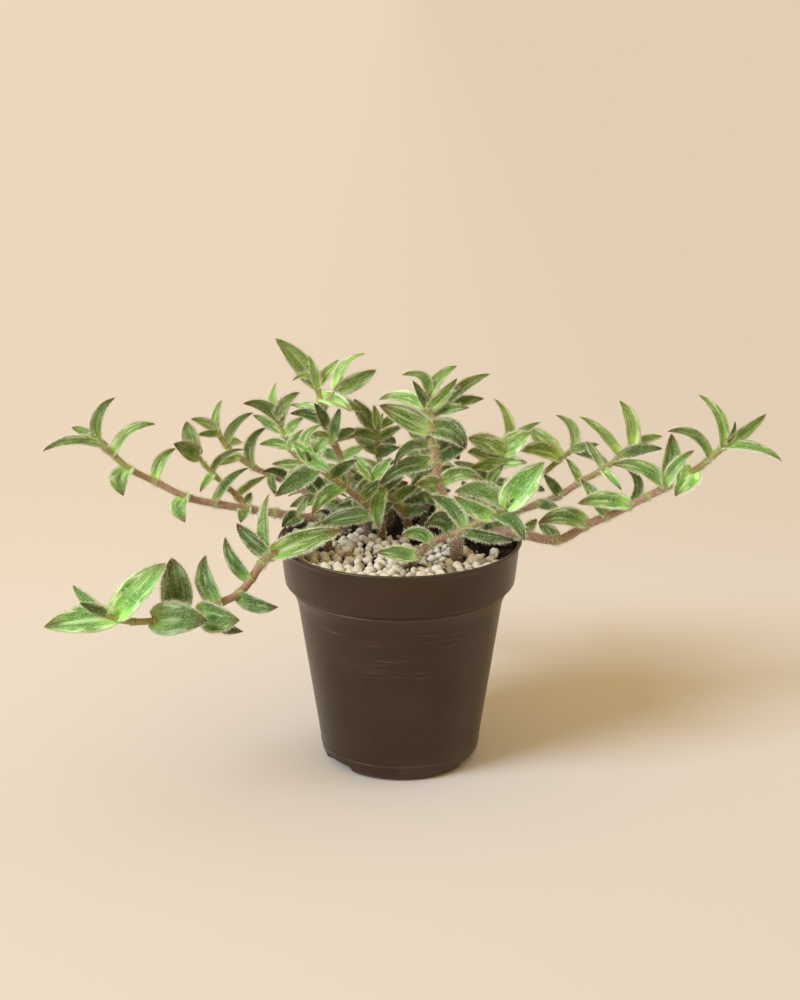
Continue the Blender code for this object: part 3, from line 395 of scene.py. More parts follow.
class StageSettings(bpy.types.PropertyGroup):
    floor: colour_property("Floor", "Colour of the floor by the pot", (0.718, 0.659, 0.685))
    distance: colour_property("Far floor", "Colour of the floor far behind", (0.682, 0.614, 0.618))
    key_colour: colour_property("Key light", "Colour of the main light", (0.63, 0.73, 0.78))
    key_strength: FloatProperty(name="Key strength", description="Main light", min=0, default=3.35)
    air_colour: colour_property("Room light", "Colour of the light from above", (1.0, 0.725, 0.270))
    horizon: colour_property("Horizon", "Colour of the air low down", (0.83, 0.685, 0.520))
    air_strength: FloatProperty(name="Room strength", description="Light all round", min=0, default=0.72)


SETTINGS = {
    "tradescantia_pot": PotSettings,
    "tradescantia_fill": FillSettings,
    "tradescantia_leaf": LeafSettings,
    "tradescantia_stalk": StalkSettings,
    "tradescantia_down": DownSettings,
    "tradescantia_stage": StageSettings,
}


def settings(group):
    return getattr(bpy.context.scene, "tradescantia_" + group)


# Node trees


class Wire:
    """What comes out of a node, worked on as a number or a colour is."""

    def __init__(self, socket):
        self.socket = socket

    def into(self, kind, inputs=None, output=0, **options):
        """Leads into a new node's first input, and gives what comes out of that node."""
        return add(self.socket.id_data, kind, {0: self} | (inputs or {}), output, **options)

    def maths(self, operation, other=0.0):
        return self.into("ShaderNodeMath", {1: other}, operation=operation)

    def __add__(self, other):
        return self.maths("ADD", other)

    def __sub__(self, other):
        return self.maths("SUBTRACT", other)

    def __mul__(self, other):
        return self.maths("MULTIPLY", other)

    def __truediv__(self, other):
        return self.maths("DIVIDE", other)

    def __abs__(self):
        return self.maths("ABSOLUTE")

    def at_least(self, other):
        return self.maths("MAXIMUM", other)

    def held(self):
        """The same sum, held between 0 and 1."""
        self.socket.node.use_clamp = True
        return self

    def ramp(self, low, high, out_low=0.0, out_high=1.0):
        """A smooth step from one value to another."""
        return self.into(
            "ShaderNodeMapRange", {1: low, 2: high, 3: out_low, 4: out_high},
            interpolation_type="SMOOTHSTEP",
        )

    def blend(self, first, second):
        """The colour that lies this share of the way from the first to the second."""
        return self.into("ShaderNodeMix", {6: first, 7: second}, 2, data_type="RGBA")

    def noise(self, scale, detail=2.0, roughness=0.5):
        return self.into("ShaderNodeTexNoise", {"Scale": scale, "Detail": detail, "Roughness": roughness})

    def scaled(self, share):
        return self.into("ShaderNodeVectorMath", {"Scale": share}, operation="SCALE")

    def parts(self):
        return [Wire(part) for part in self.into("ShaderNodeSeparateXYZ").socket.node.outputs]


def feed(socket, value):
    """Leads a wire into a socket, or sets the socket's own value."""
    if isinstance(value, Wire):
        socket.id_data.links.new(value.socket, socket)
    elif socket.type == "RGBA":
        socket.default_value = (*value, 1.0)
    else:
        socket.default_value = value


def add(tree, kind, inputs=None, output=0, **options):
    made = tree.nodes.new(kind)
    for option, value in options.items():
        setattr(made, option, value)
    for key, value in (inputs or {}).items():
        feed(made.inputs[key], value)
    return Wire(made.outputs[output])


def value_of(tree, attribute):
    return add(tree, "ShaderNodeAttribute", output="Fac", attribute_name=attribute)


def vector_from(tree, x, y, z):
    return add(tree, "ShaderNodeCombineXYZ", {0: x, 1: y, 2: z})


def place_on_object(tree):
    return add(tree, "ShaderNodeTexCoord", output="Object")


def off_axis(x, y):
    """How far a place is from the pot's upright axis."""
    return (x * x + y * y).maths("SQRT")


def new_material(name, **constants):
    """A material, its tree and its shader, with what is the same all over it."""
    made = bpy.data.materials.new(name)
    made.use_nodes = True
    shader = made.node_tree.nodes["Principled BSDF"]
    for label, value in constants.items():
        feed(shader.inputs[label.replace("_", " ")], value)
    return made, made.node_tree, shader


def raise_surface(shader, height, distance, strength=1.0):
    bump = add(shader.id_data, "ShaderNodeBump", {
        "Height": height, "Distance": distance, "Strength": strength,
    })
    feed(shader.inputs["Normal"], bump)


def new_geometry_tree(name, inputs):
    """A geometry tree, and a wire from each of its inputs, which are named for each kind."""
    tree = bpy.data.node_groups.new(name, "GeometryNodeTree")
    tree.interface.new_socket(name="Geometry", in_out="INPUT", socket_type="NodeSocketGeometry")
    for kind, labels in inputs.items():
        for label in labels:
            tree.interface.new_socket(name=label, in_out="INPUT", socket_type="NodeSocket" + kind)
    tree.interface.new_socket(name="Geometry", in_out="OUTPUT", socket_type="NodeSocketGeometry")
    return tree, {socket.name: Wire(socket) for socket in tree.nodes.new("NodeGroupInput").outputs}


def end_tree(tree, form, material, smooth):
    """Ends a geometry tree: the form, shaded smooth or flat, in its material."""
    if smooth:
        form = form.into("GeometryNodeSetShadeSmooth")
    dressed = form.into("GeometryNodeSetMaterial", {"Material": material})
    feed(tree.nodes.new("NodeGroupOutput").inputs[0], dressed)
    return tree


def random_value(tree, low, high, seed, kind="FLOAT"):
    first = 0 if kind == "FLOAT_VECTOR" else 2
    return add(
        tree, "FunctionNodeRandomValue", {first: low, first + 1: high, "Seed": seed}, first // 2,
        data_type=kind,
    )


def named(tree, attribute, kind="FLOAT"):
    return add(tree, "GeometryNodeInputNamedAttribute", {"Name": attribute}, data_type=kind)


def grown_by(obj, tree, values):
    """Runs a geometry tree on an object, and leaves the result in it as a plain mesh."""
    modifier = obj.modifiers.new("Grow", "NODES")
    modifier.node_group = tree
    for item in tree.interface.items_tree:
        if item.item_type == "SOCKET" and item.in_out == "INPUT" and item.name in values:
            modifier[item.identifier] = values[item.name]
    work_in(obj)
    return obj


# Meshes and turned forms

MERGE_DISTANCE = 0.00001


def add_object(name, data):
    obj = bpy.data.objects.new(name, data)
    bpy.context.scene.collection.objects.link(obj)
    return obj


def mesh_of(form, name):
    """The mesh that a bmesh holds. The bmesh is freed."""
    mesh = bpy.data.meshes.new(name)
    form.to_mesh(mesh)
    form.free()
    return mesh


def baked(obj):
    """The object's mesh as its modifiers leave it."""
    graph = bpy.context.evaluated_depsgraph_get()
    return bpy.data.meshes.new_from_object(obj.evaluated_get(graph))


def work_in(obj):
    """Works the object's modifiers into its mesh, and takes them off."""
    mesh = baked(obj)
    obj.modifiers.clear()
    obj.data = mesh


def joined(name, objects):
    """One object from several, with their materials kept."""
    with bpy.context.temp_override(active_object=objects[0], selected_editable_objects=objects):
        bpy.ops.object.join()
    objects[0].name = name
    objects[0].data.name = name
    return objects[0]


def settle(obj, slot, *nodes):
    """The piece rides on the part's one body, and may stand for some of its nodes. Its slot is not used."""
    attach(obj, "root")
    if nodes:
        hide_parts(*nodes)
    return obj


def round_off(obj, degrees):
    """Shades the object smooth, except over edges sharper than this."""
    obj.data.shade_smooth()
    obj.data.set_sharp_from_angle(angle=math.radians(degrees))


class Draft:
    """Points and faces, with a value or a direction at each point, before they become a mesh."""

    def __init__(self):
        self.points = []
        self.faces = []
        self.values = {}

    def put(self, point, **values):
        """Adds a point, and what is noted there."""
        self.points.append(point)
        for label, value in values.items():
            self.values.setdefault(label, []).append(value)

    def join(self, faces, start=0):
        """Adds faces whose corners are counted from a point on."""
        self.faces += [tuple(corner + start for corner in face) for face in faces]

    def mesh(self, name):
        made = bpy.data.meshes.new(name)
        made.from_pydata(self.points, [], self.faces)
        for label, column in self.values.items():
            directed = isinstance(column[0], Vector)
            kind = "FLOAT_VECTOR" if directed else "FLOAT"
            attribute = made.attributes.new(label, kind, "POINT")
            flat = [part for item in column for part in item] if directed else column
            attribute.data.foreach_set("vector" if directed else "value", flat)
        form = bmesh.new()
        form.from_mesh(made)
        bmesh.ops.recalc_face_normals(form, faces=form.faces)
        form.to_mesh(made)
        form.free()
        return made


def ring_faces(rings, size):
    """Quads that join closed rings of points, one after another."""
    faces = []
    for ring in range(rings - 1):
        for corner in range(size):
            after = (corner + 1) % size
            low, high = ring * size, (ring + 1) * size
            faces.append((low + corner, low + after, high + after, high + corner))
    return faces


def turned(name, profile, sides):
    """A body turned round Z from its profile."""
    form = bmesh.new()
    corners = [form.verts.new((radius, 0.0, z)) for radius, z in profile]
    for first, second in zip(corners, corners[1:]):
        form.edges.new((first, second))
    obj = add_object(name, mesh_of(form, name))
    screw = obj.modifiers.new("Turn", "SCREW")
    screw.axis = "Z"
    screw.steps = sides
    screw.render_steps = sides
    screw.use_merge_vertices = True
    screw.merge_threshold = MERGE_DISTANCE
    return obj


def rounded(profile, radius, steps=4):
    """The profile with each inner corner replaced by a short curve."""
    soft = [profile[0]]
    for before, corner, after in zip(profile, profile[1:], profile[2:]):
        corner_at = Vector(corner)
        back, on = Vector(before) - corner_at, Vector(after) - corner_at
        start = corner_at + back.normalized() * min(radius, back.length * 0.45)
        end = corner_at + on.normalized() * min(radius, on.length * 0.45)
        for step in range(steps + 1):
            t = step / steps
            soft.append(tuple(start * (1 - t) ** 2 + corner_at * 2 * t * (1 - t) + end * t**2))
    soft.append(profile[-1])
    return soft


# The pot


def outer_profile():
    """The pot's outside, from the lip down to the middle of its floor."""
    lip = RIM_DIAMETER / 2
    return [
        (lip - 0.0013, POT_HEIGHT),
        (lip - 0.0002, POT_HEIGHT - 0.0006),
        (lip - 0.0003, POT_HEIGHT - 0.0018),
        (COLLAR_SIDE, POT_HEIGHT - 0.0030),
        (COLLAR_FOOT, COLLAR_FOOT_Z),
        (COLLAR_FOOT - 0.0023, COLLAR_FOOT_Z - 0.0013),
        (NECK_RADIUS + 0.0010, NECK_Z + 0.0035),
        (NECK_RADIUS, NECK_Z),
        (FOOT_RADIUS, FOOT_Z),
        (FOOT_RADIUS - 0.0010, FOOT_Z - 0.0025),
        (STAND_RADIUS, 0.0),
        (0.0, 0.0),
    ]


def inner_profile(gap=0.0):
    """The pot's inside, from the middle of its floor up to the lip, less a gap."""
    return [
        (0.0, WALL + gap),
        (STAND_RADIUS - 0.0008 - gap, WALL + gap),
        (FOOT_RADIUS - WALL - 0.0001 - gap, FOOT_Z + 0.0008 + gap),
        (NECK_RADIUS - WALL - gap, NECK_Z + 0.0006 + gap),
        (NECK_RADIUS + 0.0010 - WALL - gap, NECK_Z + 0.0037 + gap),
        (COLLAR_FOOT - 0.0022 - WALL - gap, COLLAR_FOOT_Z - 0.0004 + gap),
        (COLLAR_FOOT - WALL - gap, COLLAR_FOOT_Z + 0.0013 + gap),
        (COLLAR_SIDE - WALL - gap, POT_HEIGHT - 0.0016),
    ]


def inner_radius(z, gap=0.0):
    """How wide the pot is inside at a height."""
    profile = inner_profile(gap)[1:]
    for (low_r, low_z), (high_r, high_z) in zip(profile, profile[1:]):
        if z <= high_z:
            share = (z - low_z) / (high_z - low_z)
            return low_r + share * (high_r - low_r)
    return profile[-1][0]


# The fine rings that the mould leaves, under the neck and a little above the foot
MOULD_RINGS = (COLLAR_FOOT_Z - 0.0026, FOOT_Z + 0.0040)
RING_RISE = 0.0003
RING_HALF_WIDTH = 0.0004

# Where the plastic is rubbed: a band of fine scuffs round the wall. Along the top of the lip's edge a thin
# highlight is painted
RUBBED_FROM = 0.052
RUBBED_TO = 0.087
LIP_HIGHLIGHT_TOP = POT_HEIGHT - 0.0004


def pot_material():
    look = settings("pot")
    made, tree, shader = new_material(
        "brown_moulded_plastic", Roughness=look.roughness, Specular_IOR_Level=0.5,
        Specular_Tint=(1.0, 0.74, 0.54),
    )
    spot = place_on_object(tree)
    x, y, z = spot.parts()
    reach = off_axis(x, y).at_least(0.001)
    round_x, round_y = x / reach, y / reach
    scuff_lines = vector_from(tree, round_x, round_y, z * 900.0).noise(2.2, 3.0, 0.65)
    patches = vector_from(tree, round_x, round_y, z * 22.0).noise(1.6)
    rubbed_band = z.ramp(RUBBED_FROM, RUBBED_FROM + 0.012) * z.ramp(RUBBED_TO, RUBBED_TO - 0.009)
    scuffs = scuff_lines.ramp(0.54, 0.68) * rubbed_band * patches.ramp(0.32, 0.52)
    # Pale lines: a painted highlight on the mould ring under the collar, a fainter pale line on the ring
    # above the foot, and the lip's painted highlight
    upper, lower = (z.ramp(at - 0.0005, at) * z.ramp(at + 0.0005, at) for at in MOULD_RINGS)
    edges = upper + lower * 0.3 + z.ramp(LIP_HIGHLIGHT_TOP - 0.0008, LIP_HIGHLIGHT_TOP, 0.0, 0.45)
    grains = spot.noise(5200.0)
    mottle = spot.noise(38.0, 3.0)
    dust = z.ramp(0.016, 0.001, 0.0, 0.35) * mottle.ramp(0.4, 0.7)
    shade = (scuffs * 0.62 + dust).held()
    shade = (shade + edges * 0.65).held()
    shade = (shade + mottle.ramp(0.35, 0.8, 0.0, 0.10)).held()
    feed(shader.inputs["Base Color"], shade.blend(look.colour, look.scuff_and_highlight_colour))
    feed(shader.inputs["Roughness"], mottle * 0.16 + (look.roughness - 0.08) + scuffs * 0.2)
    raise_surface(shader, scuff_lines * rubbed_band + grains * 0.35, 0.00004, 0.5)
    return made


def fine_outside():
    """The outside with its mould rings."""
    profile = outer_profile()
    fine = []
    for (first_r, first_z), (next_r, next_z) in zip(profile, profile[1:]):
        fine.append((first_r, first_z))
        for ring_z in MOULD_RINGS:
            if next_z < ring_z < first_z:
                share = (ring_z - first_z) / (next_z - first_z)
                ring_r = first_r + share * (next_r - first_r)
                fine += [
                    (ring_r, ring_z + RING_HALF_WIDTH), (ring_r + RING_RISE, ring_z),
                    (ring_r, ring_z - RING_HALF_WIDTH),
                ]
    fine.append(profile[-1])
    return fine


def notch_cutter(turn):
    """A block with rounded sides that cuts one drain notch."""
    depth, height = 0.020, 0.010
    form = bmesh.new()
    bmesh.ops.create_cube(form, size=1.0)
    spin = Matrix.Rotation(math.radians(turn - 90), 4, "Z")
    middle = Matrix.Translation((NOTCH_REACH + depth / 2, 0.0, NOTCH_HEIGHT - height / 2))
    size = Matrix.Diagonal((depth, NOTCH_WIDTH, height, 1.0))
    bmesh.ops.transform(form, matrix=spin @ middle @ size, verts=form.verts)
    level = [edge for edge in form.edges if abs(edge.verts[0].co.z - edge.verts[1].co.z) < 1e-6]
    bmesh.ops.bevel(
        form, geom=level, offset=NOTCH_CORNER, segments=4, profile=0.5, affect="EDGES",
        clamp_overlap=True,
    )
    bmesh.ops.recalc_face_normals(form, faces=form.faces)
    return bpy.data.objects.new("notch_cutter", mesh_of(form, "notch_cutter"))


def make_pot():
    """The pot with rounded corners, a bead under the lip and the fine rings that the mould leaves."""
    look = settings("pot")
    profile = rounded(inner_profile() + fine_outside(), look.corner)
    pot = turned("nursery_pot", profile, look.sides)
    cutters = bpy.data.collections.new("notch_cutters")
    for turn in NOTCH_TURNS:
        cutters.objects.link(notch_cutter(turn))
    cut = pot.modifiers.new("Cut", "BOOLEAN")
    cut.operation = "DIFFERENCE"
    cut.operand_type = "COLLECTION"
    cut.collection = cutters
    cut.solver = "EXACT"
    work_in(pot)
    for obj in list(cutters.objects):
        bpy.data.objects.remove(obj, do_unlink=True)
    bpy.data.collections.remove(cutters)
    pot.data.materials.clear()
    pot.data.materials.append(pot_material())
    round_off(pot, 38)
    return settle(pot, "brown_plastic", "pot")


# What fills the pot

SOIL_SIDES = 96

# Where the pumice thins out towards the back, and how far the soil rises there
BARE_FROM = 0.006
BARE_EASE = 0.012
BARE_RISE = 0.0050

# The beds that grains are scattered on: their cell, their gaps to the wall and to each stem,
# and how high each lies
BED_CELL = 0.0014
BED_WALL_GAP = 0.0018
BED_STEM_GAP = 0.0012
LOWER_BED = 0.0014
UPPER_BED = 0.0053
BITS_BED = 0.0050
CRUMBS_BED = 0.0002


def soil_material():
    look = settings("fill")
    made, tree, shader = new_material("moist_soil", Roughness=0.9, Specular_IOR_Level=0.25)
    spot = place_on_object(tree)
    clods = spot.noise(420.0, 4.0, 0.6)
    paler = spot.noise(1500.0).ramp(0.60, 0.70) * 0.45 + clods.ramp(0.4, 0.8, 0.0, 0.35)
    feed(shader.inputs["Base Color"], paler.held().blend(look.soil_colour, look.soil_colour * 3.4))
    raise_surface(shader, clods, 0.0006, 0.8)
    return made


def bareness(x, y):
    """How bare of pumice the soil is: not at all in front, and wholly among the stems behind."""
    patchy = noise.noise(Vector((x, y, 0.0)) * 45) * 0.45
    return min(1.0, max(0.0, (y + 0.35 * x + 0.30 * max(0.0, x) - BARE_FROM) / BARE_EASE + patchy))


def soil_level(x, y):
    """The soil's top: it rises where no pumice covers it, and is crumbly."""
    at = Vector((x, y, 0.3))
    rough = 0.0012 * noise.noise(at * 160) + 0.0006 * noise.noise(at * 420)
    return SOIL_TOP + BARE_RISE * bareness(x, y) + rough


def make_soil():
    """The soil: the room inside the pot, with a crumbly top."""
    inside = inner_profile(CLEARANCE)
    profile = inside[:4] + [inside[5], (inner_radius(SOIL_TOP, CLEARANCE), SOIL_TOP)]
    reach = profile[-1][0]
    profile += [(reach * (0.99 - 0.045 * ring), SOIL_TOP) for ring in range(22)]
    profile[-1] = (0.0, SOIL_TOP)
    profile.reverse()
    soil = turned("soil_fill", profile, SOIL_SIDES)
    work_in(soil)
    for vert in soil.data.vertices:
        if vert.co.z > SOIL_TOP - 1e-5:
            vert.co.z = soil_level(vert.co.x, vert.co.y)
    soil.data.materials.append(soil_material())
    round_off(soil, 60)
    return settle(soil, "peaty_soil", "potting_soil")


def free_of_stems(x, y):
    """From 0 at the stems to 1 clear of them all."""
    free = 1.0
    for stem in STEMS.values():
        foot_x, foot_y = stem["root"]
        gap = math.hypot(x - foot_x * MM, y - foot_y * MM) - stem["girth"] * MM / 2
        free = min(free, max(0.0, (gap - BED_STEM_GAP) / 0.001))
    return free


def bed(name, rise, on_soil=False):
    """A fine disc whose cover says where grains may lie: not on the stems, and pumice not behind."""
    ground = Draft()
    reach = inner_radius(SOIL_TOP + 0.004, CLEARANCE)
    count = int(reach / BED_CELL)
    index_of = {}
    for row in range(-count, count + 1):
        for column in range(-count, count + 1):
            x, y = column * BED_CELL, row * BED_CELL
            if math.hypot(x, y) > reach - BED_WALL_GAP:
                continue
            index_of[row, column] = len(ground.points)
            level = soil_level(x, y) if on_soil else SOIL_TOP
            cover = free_of_stems(x, y) * (1.0 if on_soil else 1.0 - 0.97 * bareness(x, y))
            ground.put(Vector((x, y, rise + level)), cover=cover)
    for (row, column), corner in index_of.items():
        others = [(row, column + 1), (row + 1, column + 1), (row + 1, column)]
        if all(cell in index_of for cell in others):
            ground.faces.append((corner, *(index_of[cell] for cell in others)))
    return add_object(name, ground.mesh(name))


@functools.cache
def granule_tree():
    """Scatters rough, rounded granules over a bed, each of its own size, turn and tone."""
    tree, given = new_geometry_tree("Granules", {
        "Float": ("Spacing", "Smallest", "Largest", "Unevenness", "Roughness", "Cleanness"),
        "Int": ("Detail", "Seed"), "Material": ("Material",),
    })
    scattered = given["Geometry"].into("GeometryNodeDistributePointsOnFaces", {
        "Distance Min": given["Spacing"], "Density Max": 4.0e6, "Density Factor": named(tree, "cover"),
        "Seed": given["Seed"],
    }, distribute_method="POISSON")
    lift = vector_from(tree, 0.0, 0.0, random_value(tree, -1.0, 1.0, 5)).scaled(given["Unevenness"])
    raised = scattered.into("GeometryNodeSetPosition", {"Offset": lift})
    ball = add(tree, "GeometryNodeMeshIcoSphere", {"Radius": 0.5, "Subdivisions": given["Detail"]})
    across = random_value(tree, 0.0, 1.0, 8).into("ShaderNodeMapRange", {
        3: given["Smallest"], 4: given["Largest"],
    })
    squeeze = random_value(tree, (0.66, 0.66, 0.58), (1.18, 1.18, 1.0), 11, "FLOAT_VECTOR")
    turn = random_value(tree, (0.0, 0.0, 0.0), (math.tau, math.tau, math.tau), 13, "FLOAT_VECTOR")
    placed = raised.into("GeometryNodeInstanceOnPoints", {
        "Instance": ball, "Rotation": turn, "Scale": squeeze.scaled(across),
    })
    toned = placed.into("GeometryNodeStoreNamedAttribute", {
        "Name": "tone", "Value": random_value(tree, 0.0, 1.0, 17) * given["Cleanness"],
    }, data_type="FLOAT", domain="INSTANCE")
    real = toned.into("GeometryNodeRealizeInstances")
    bumps = add(tree, "ShaderNodeTexNoise", {"Scale": 430.0, "Detail": 3.0, "Roughness": 0.6})
    outward = add(tree, "GeometryNodeInputNormal").scaled((bumps - 0.5) * given["Roughness"])
    rough = real.into("GeometryNodeSetPosition", {"Offset": outward})
    return end_tree(tree, rough, given["Material"], smooth=True)


def pumice_material():
    look = settings("fill")
    made, tree, shader = new_material("pumice_granules", Roughness=0.92, Specular_IOR_Level=0.2)
    spot = place_on_object(tree)
    pits = spot.noise(1500.0, 3.0, 0.6)
    stains = spot.noise(230.0)
    # Where the pits' bump sinks the granule is darker: painted shade in the hollows
    paleness = value_of(tree, "tone").ramp(0.0, 0.35, 0.10, 1.0) + pits.ramp(0.36, 0.50, -0.26, 0.06)
    paleness = (paleness - stains.ramp(0.55, 0.75, 0.0, 0.10)).held()
    colour = paleness.blend(look.dark_granule, look.pale_granule)
    # Darker below a height over the soil, all over the lower layer and under the upper granules: painted
    # shade
    granule_painted_shade = spot.parts()[2].ramp(SOIL_TOP + 0.0062, SOIL_TOP + 0.0036, 0.0, 0.94)
    feed(shader.inputs["Base Color"], granule_painted_shade.blend(colour, look.granule_shade_colour))
    raise_surface(shader, pits, 0.0012)
    return made


def make_dressing():
    """Pumice in two layers with small bits between, and fine crumbs on the soil."""
    look = settings("fill")
    pumice = {
        "Spacing": look.spacing, "Smallest": look.smallest, "Largest": look.largest,
        "Unevenness": 0.0006, "Roughness": 0.0042, "Detail": 2, "Material": pumice_material(),
    }
    # The lower layer is the same pumice, made dark by the 0.12 below: painted shade in the gaps between the
    # upper granules
    low = grown_by(bed("pumice_lower_layer", LOWER_BED), granule_tree(), pumice | {
        "Seed": look.seed, "Cleanness": 0.12,
    })
    high = grown_by(bed("pumice_upper_layer", UPPER_BED), granule_tree(), pumice | {
        "Seed": look.seed + 1, "Cleanness": 1.0,
    })
    bits = grown_by(bed("pumice_bits", BITS_BED), granule_tree(), pumice | {
        "Spacing": 0.0030, "Smallest": 0.0010, "Largest": 0.0030, "Roughness": 0.0012, "Detail": 1,
        "Seed": look.seed + 3, "Cleanness": 0.8,
    })
    crumbs = grown_by(bed("soil_crumbs", CRUMBS_BED, on_soil=True), granule_tree(), {
        "Spacing": 0.0019, "Smallest": 0.0008, "Largest": 0.0030, "Unevenness": 0.0004, "Roughness": 0.0012,
        "Cleanness": 1.0, "Detail": 1, "Seed": look.seed + 2, "Material": bpy.data.materials["moist_soil"],
    })
    settle(low, "pumice", "pumice_dressing")
    settle(joined("pumice_upper_layer", [high, bits]), "pumice")
    settle(crumbs, "peaty_soil")


# How the stems grow: the part's own rules


def place(point, seen):
    """A drafted point, in millimetres, in the part's own frame."""
    if seen == "above":
        return Vector((point[0] * MM, point[1] * MM, POT_HEIGHT + point[2] * MM))
    right, up, towards = point
    shrink = 1.0 - towards / SKETCH_DISTANCE
    rise = SKETCH_EYE_LEVEL + (up - SKETCH_EYE_LEVEL) * shrink
    y = rise * math.sin(SKETCH_TILT) - towards * math.cos(SKETCH_TILT)
    z = rise * math.cos(SKETCH_TILT) + towards * math.sin(SKETCH_TILT)
    return Vector((right * shrink * MM, y * MM, POT_HEIGHT + z * MM))


def taper(share):
    """How thick a shoot is at a share of its length."""
    return 1.06 - 0.36 * max(0.0, share - 0.25) / 0.75


def reaches_of(knots, first_heading):
    """How the smooth curve through the knots passes each of them."""
    reaches = [first_heading * (knots[1] - knots[0]).length]
    reaches += [(after - before) / 2 for before, after in zip(knots, knots[2:])]
    return reaches + [knots[-1] - knots[-2]]


def on_curve(knots, reaches, index, t):
    """A point on the smooth curve between a knot and the next."""
    start, end = knots[index], knots[index + 1]
    return (
        start * (2 * t**3 - 3 * t**2 + 1) + reaches[index] * (t**3 - 2 * t**2 + t)
        + end * (3 * t**2 - 2 * t**3) + reaches[index + 1] * (t**3 - t**2)
    )


def coarse_path(knots, reaches):
    path = [knots[0]]
    for index in range(len(knots) - 1):
        far = index == 0 or (knots[index + 1] - knots[index]).length > 0.015
        path += [on_curve(knots, reaches, index, t) for t in ((0.3, 0.7) if far else (0.5,))]
    return path + [knots[-1]]


def shoot(girth, nodes, knots, first_heading, foot=None):
    reaches = reaches_of(knots, first_heading)
    path = coarse_path(knots, reaches)
    return dict(
        girth=girth, nodes=nodes, knots=knots, reaches=reaches, foot=foot,
        headings=[reach.normalized() for reach in reaches[1:]], path=[foot] + path if foot else path,
    )


def shoots_of(stem):
    """A stem and its side shoots, each a smooth curve through its nodes."""
    seen = stem["seen"]
    x, y = stem["root"]
    foot = Vector((x * MM, y * MM, SOIL_TOP - ROOT_DEPTH))
    neck = Vector((x * MM, y * MM, POT_HEIGHT - 0.0012))
    knots = [neck] + [place(node[0], seen) for node in stem["nodes"]]
    shoots = [shoot(stem["girth"], stem["nodes"], knots, UP, foot)]
    for side in stem.get("shoots", ()):
        start = knots[side["start"]]
        turns = [start] + [place(node[0], seen) for node in side["nodes"]]
        shoots.append(shoot(side["girth"], side["nodes"], turns, (turns[1] - start).normalized()))
    return shoots


def square_to(vector, axis):
    """What is left of a vector beside an axis, at unit length."""
    rest = vector - vector.dot(axis) * axis
    return rest.normalized() if rest.length > 1e-6 else axis.orthogonal().normalized()


def tube(name, run):
    """A shoot as the part has it: a bevelled curve that thins towards its end."""
    curve = bpy.data.curves.new(name, "CURVE")
    curve.dimensions = "3D"
    curve.bevel_depth = 1.0
    curve.bevel_resolution = 1
    curve.use_fill_caps = True
    spline = curve.splines.new("POLY")
    path = run["path"]
    spline.points.add(len(path) - 1)
    for index, point in enumerate(path):
        share = index / (len(path) - 1)
        spline.points[index].co = (*point, 1.0)
        spline.points[index].radius = run["girth"] * MM / 2 * taper(share)
    guide = add_object(name + "_guide", curve)
    mesh = baked(guide)
    bpy.data.objects.remove(guide, do_unlink=True)
    form = bmesh.new()
    form.from_mesh(mesh)
    bmesh.ops.remove_doubles(form, verts=form.verts, dist=0.00002)
    bmesh.ops.recalc_face_normals(form, faces=form.faces)
    bmesh.ops.triangulate(form, faces=form.faces)
    form.to_mesh(mesh)
    form.free()
    return mesh


def leaf_layout(leaf, node, heading, seen, bend):
    """A leaf's base, the point it arches round, its tip, its upper side and its half width."""
    right, up, nearer, apparent, *arch = leaf
    above = seen == "above"
    base = place(node, seen)
    tip = place((right, up, (0 if above else node[2]) + nearer + bend), seen)
    along = (tip - base).normalized()
    length = (tip - base).length
    base = base - along * LEAF_SUNK_MM * MM
    width = min(WIDEST_MM, max(NARROWEST_MM, abs(apparent), SLENDERNESS * length / MM))
    facing = min(FULLEST_FACING, abs(apparent) / width) * (1 if apparent > 0 else -1)
    beside = math.sqrt(1 - facing**2)
    front = square_to(UP if above else TO_VIEWER, along)
    middle = (base + tip) / 2
    if arch:
        if above:
            via = Vector((arch[0] * MM, arch[1] * MM, middle.z))
        else:
            via = place((*arch, node[2] + 0.5 * (nearer + bend)), seen)
        bulge = via - middle
        bulge -= bulge.dot(along) * along
        edge = square_to(bulge, front)
        bulge *= max(0.0, 1.0 - ARCH_EASE / max(ARCH_EASE, bulge.length))
        edge = square_to(edge, along)
        face = (front * facing + edge * beside).normalized()
        slack = 1.0 - 0.055 * max(0.0, abs(apparent) - 4.0)
        pull = middle + 2 * bulge * slack + face * 0.04 * length
    else:
        edge = square_to(square_to(heading + 0.5 * UP, along), front)
        face = (front * facing + edge * beside).normalized()
        pull = middle + 2 * USUAL_ARCH * length * face
    return base, pull, tip, face, width / 2 * MM


def blade_axes(layout, share):
    """A place along a blade's arch, and what points along, up and sideways there."""
    base, pull, tip, face, _ = layout
    centre = base * (1 - share) ** 2 + pull * 2 * share * (1 - share) + tip * share**2
    along = ((pull - base) * (1 - share) + (tip - pull) * share).normalized()
    up = square_to(face, along)
    return centre, along, up, along.cross(up)


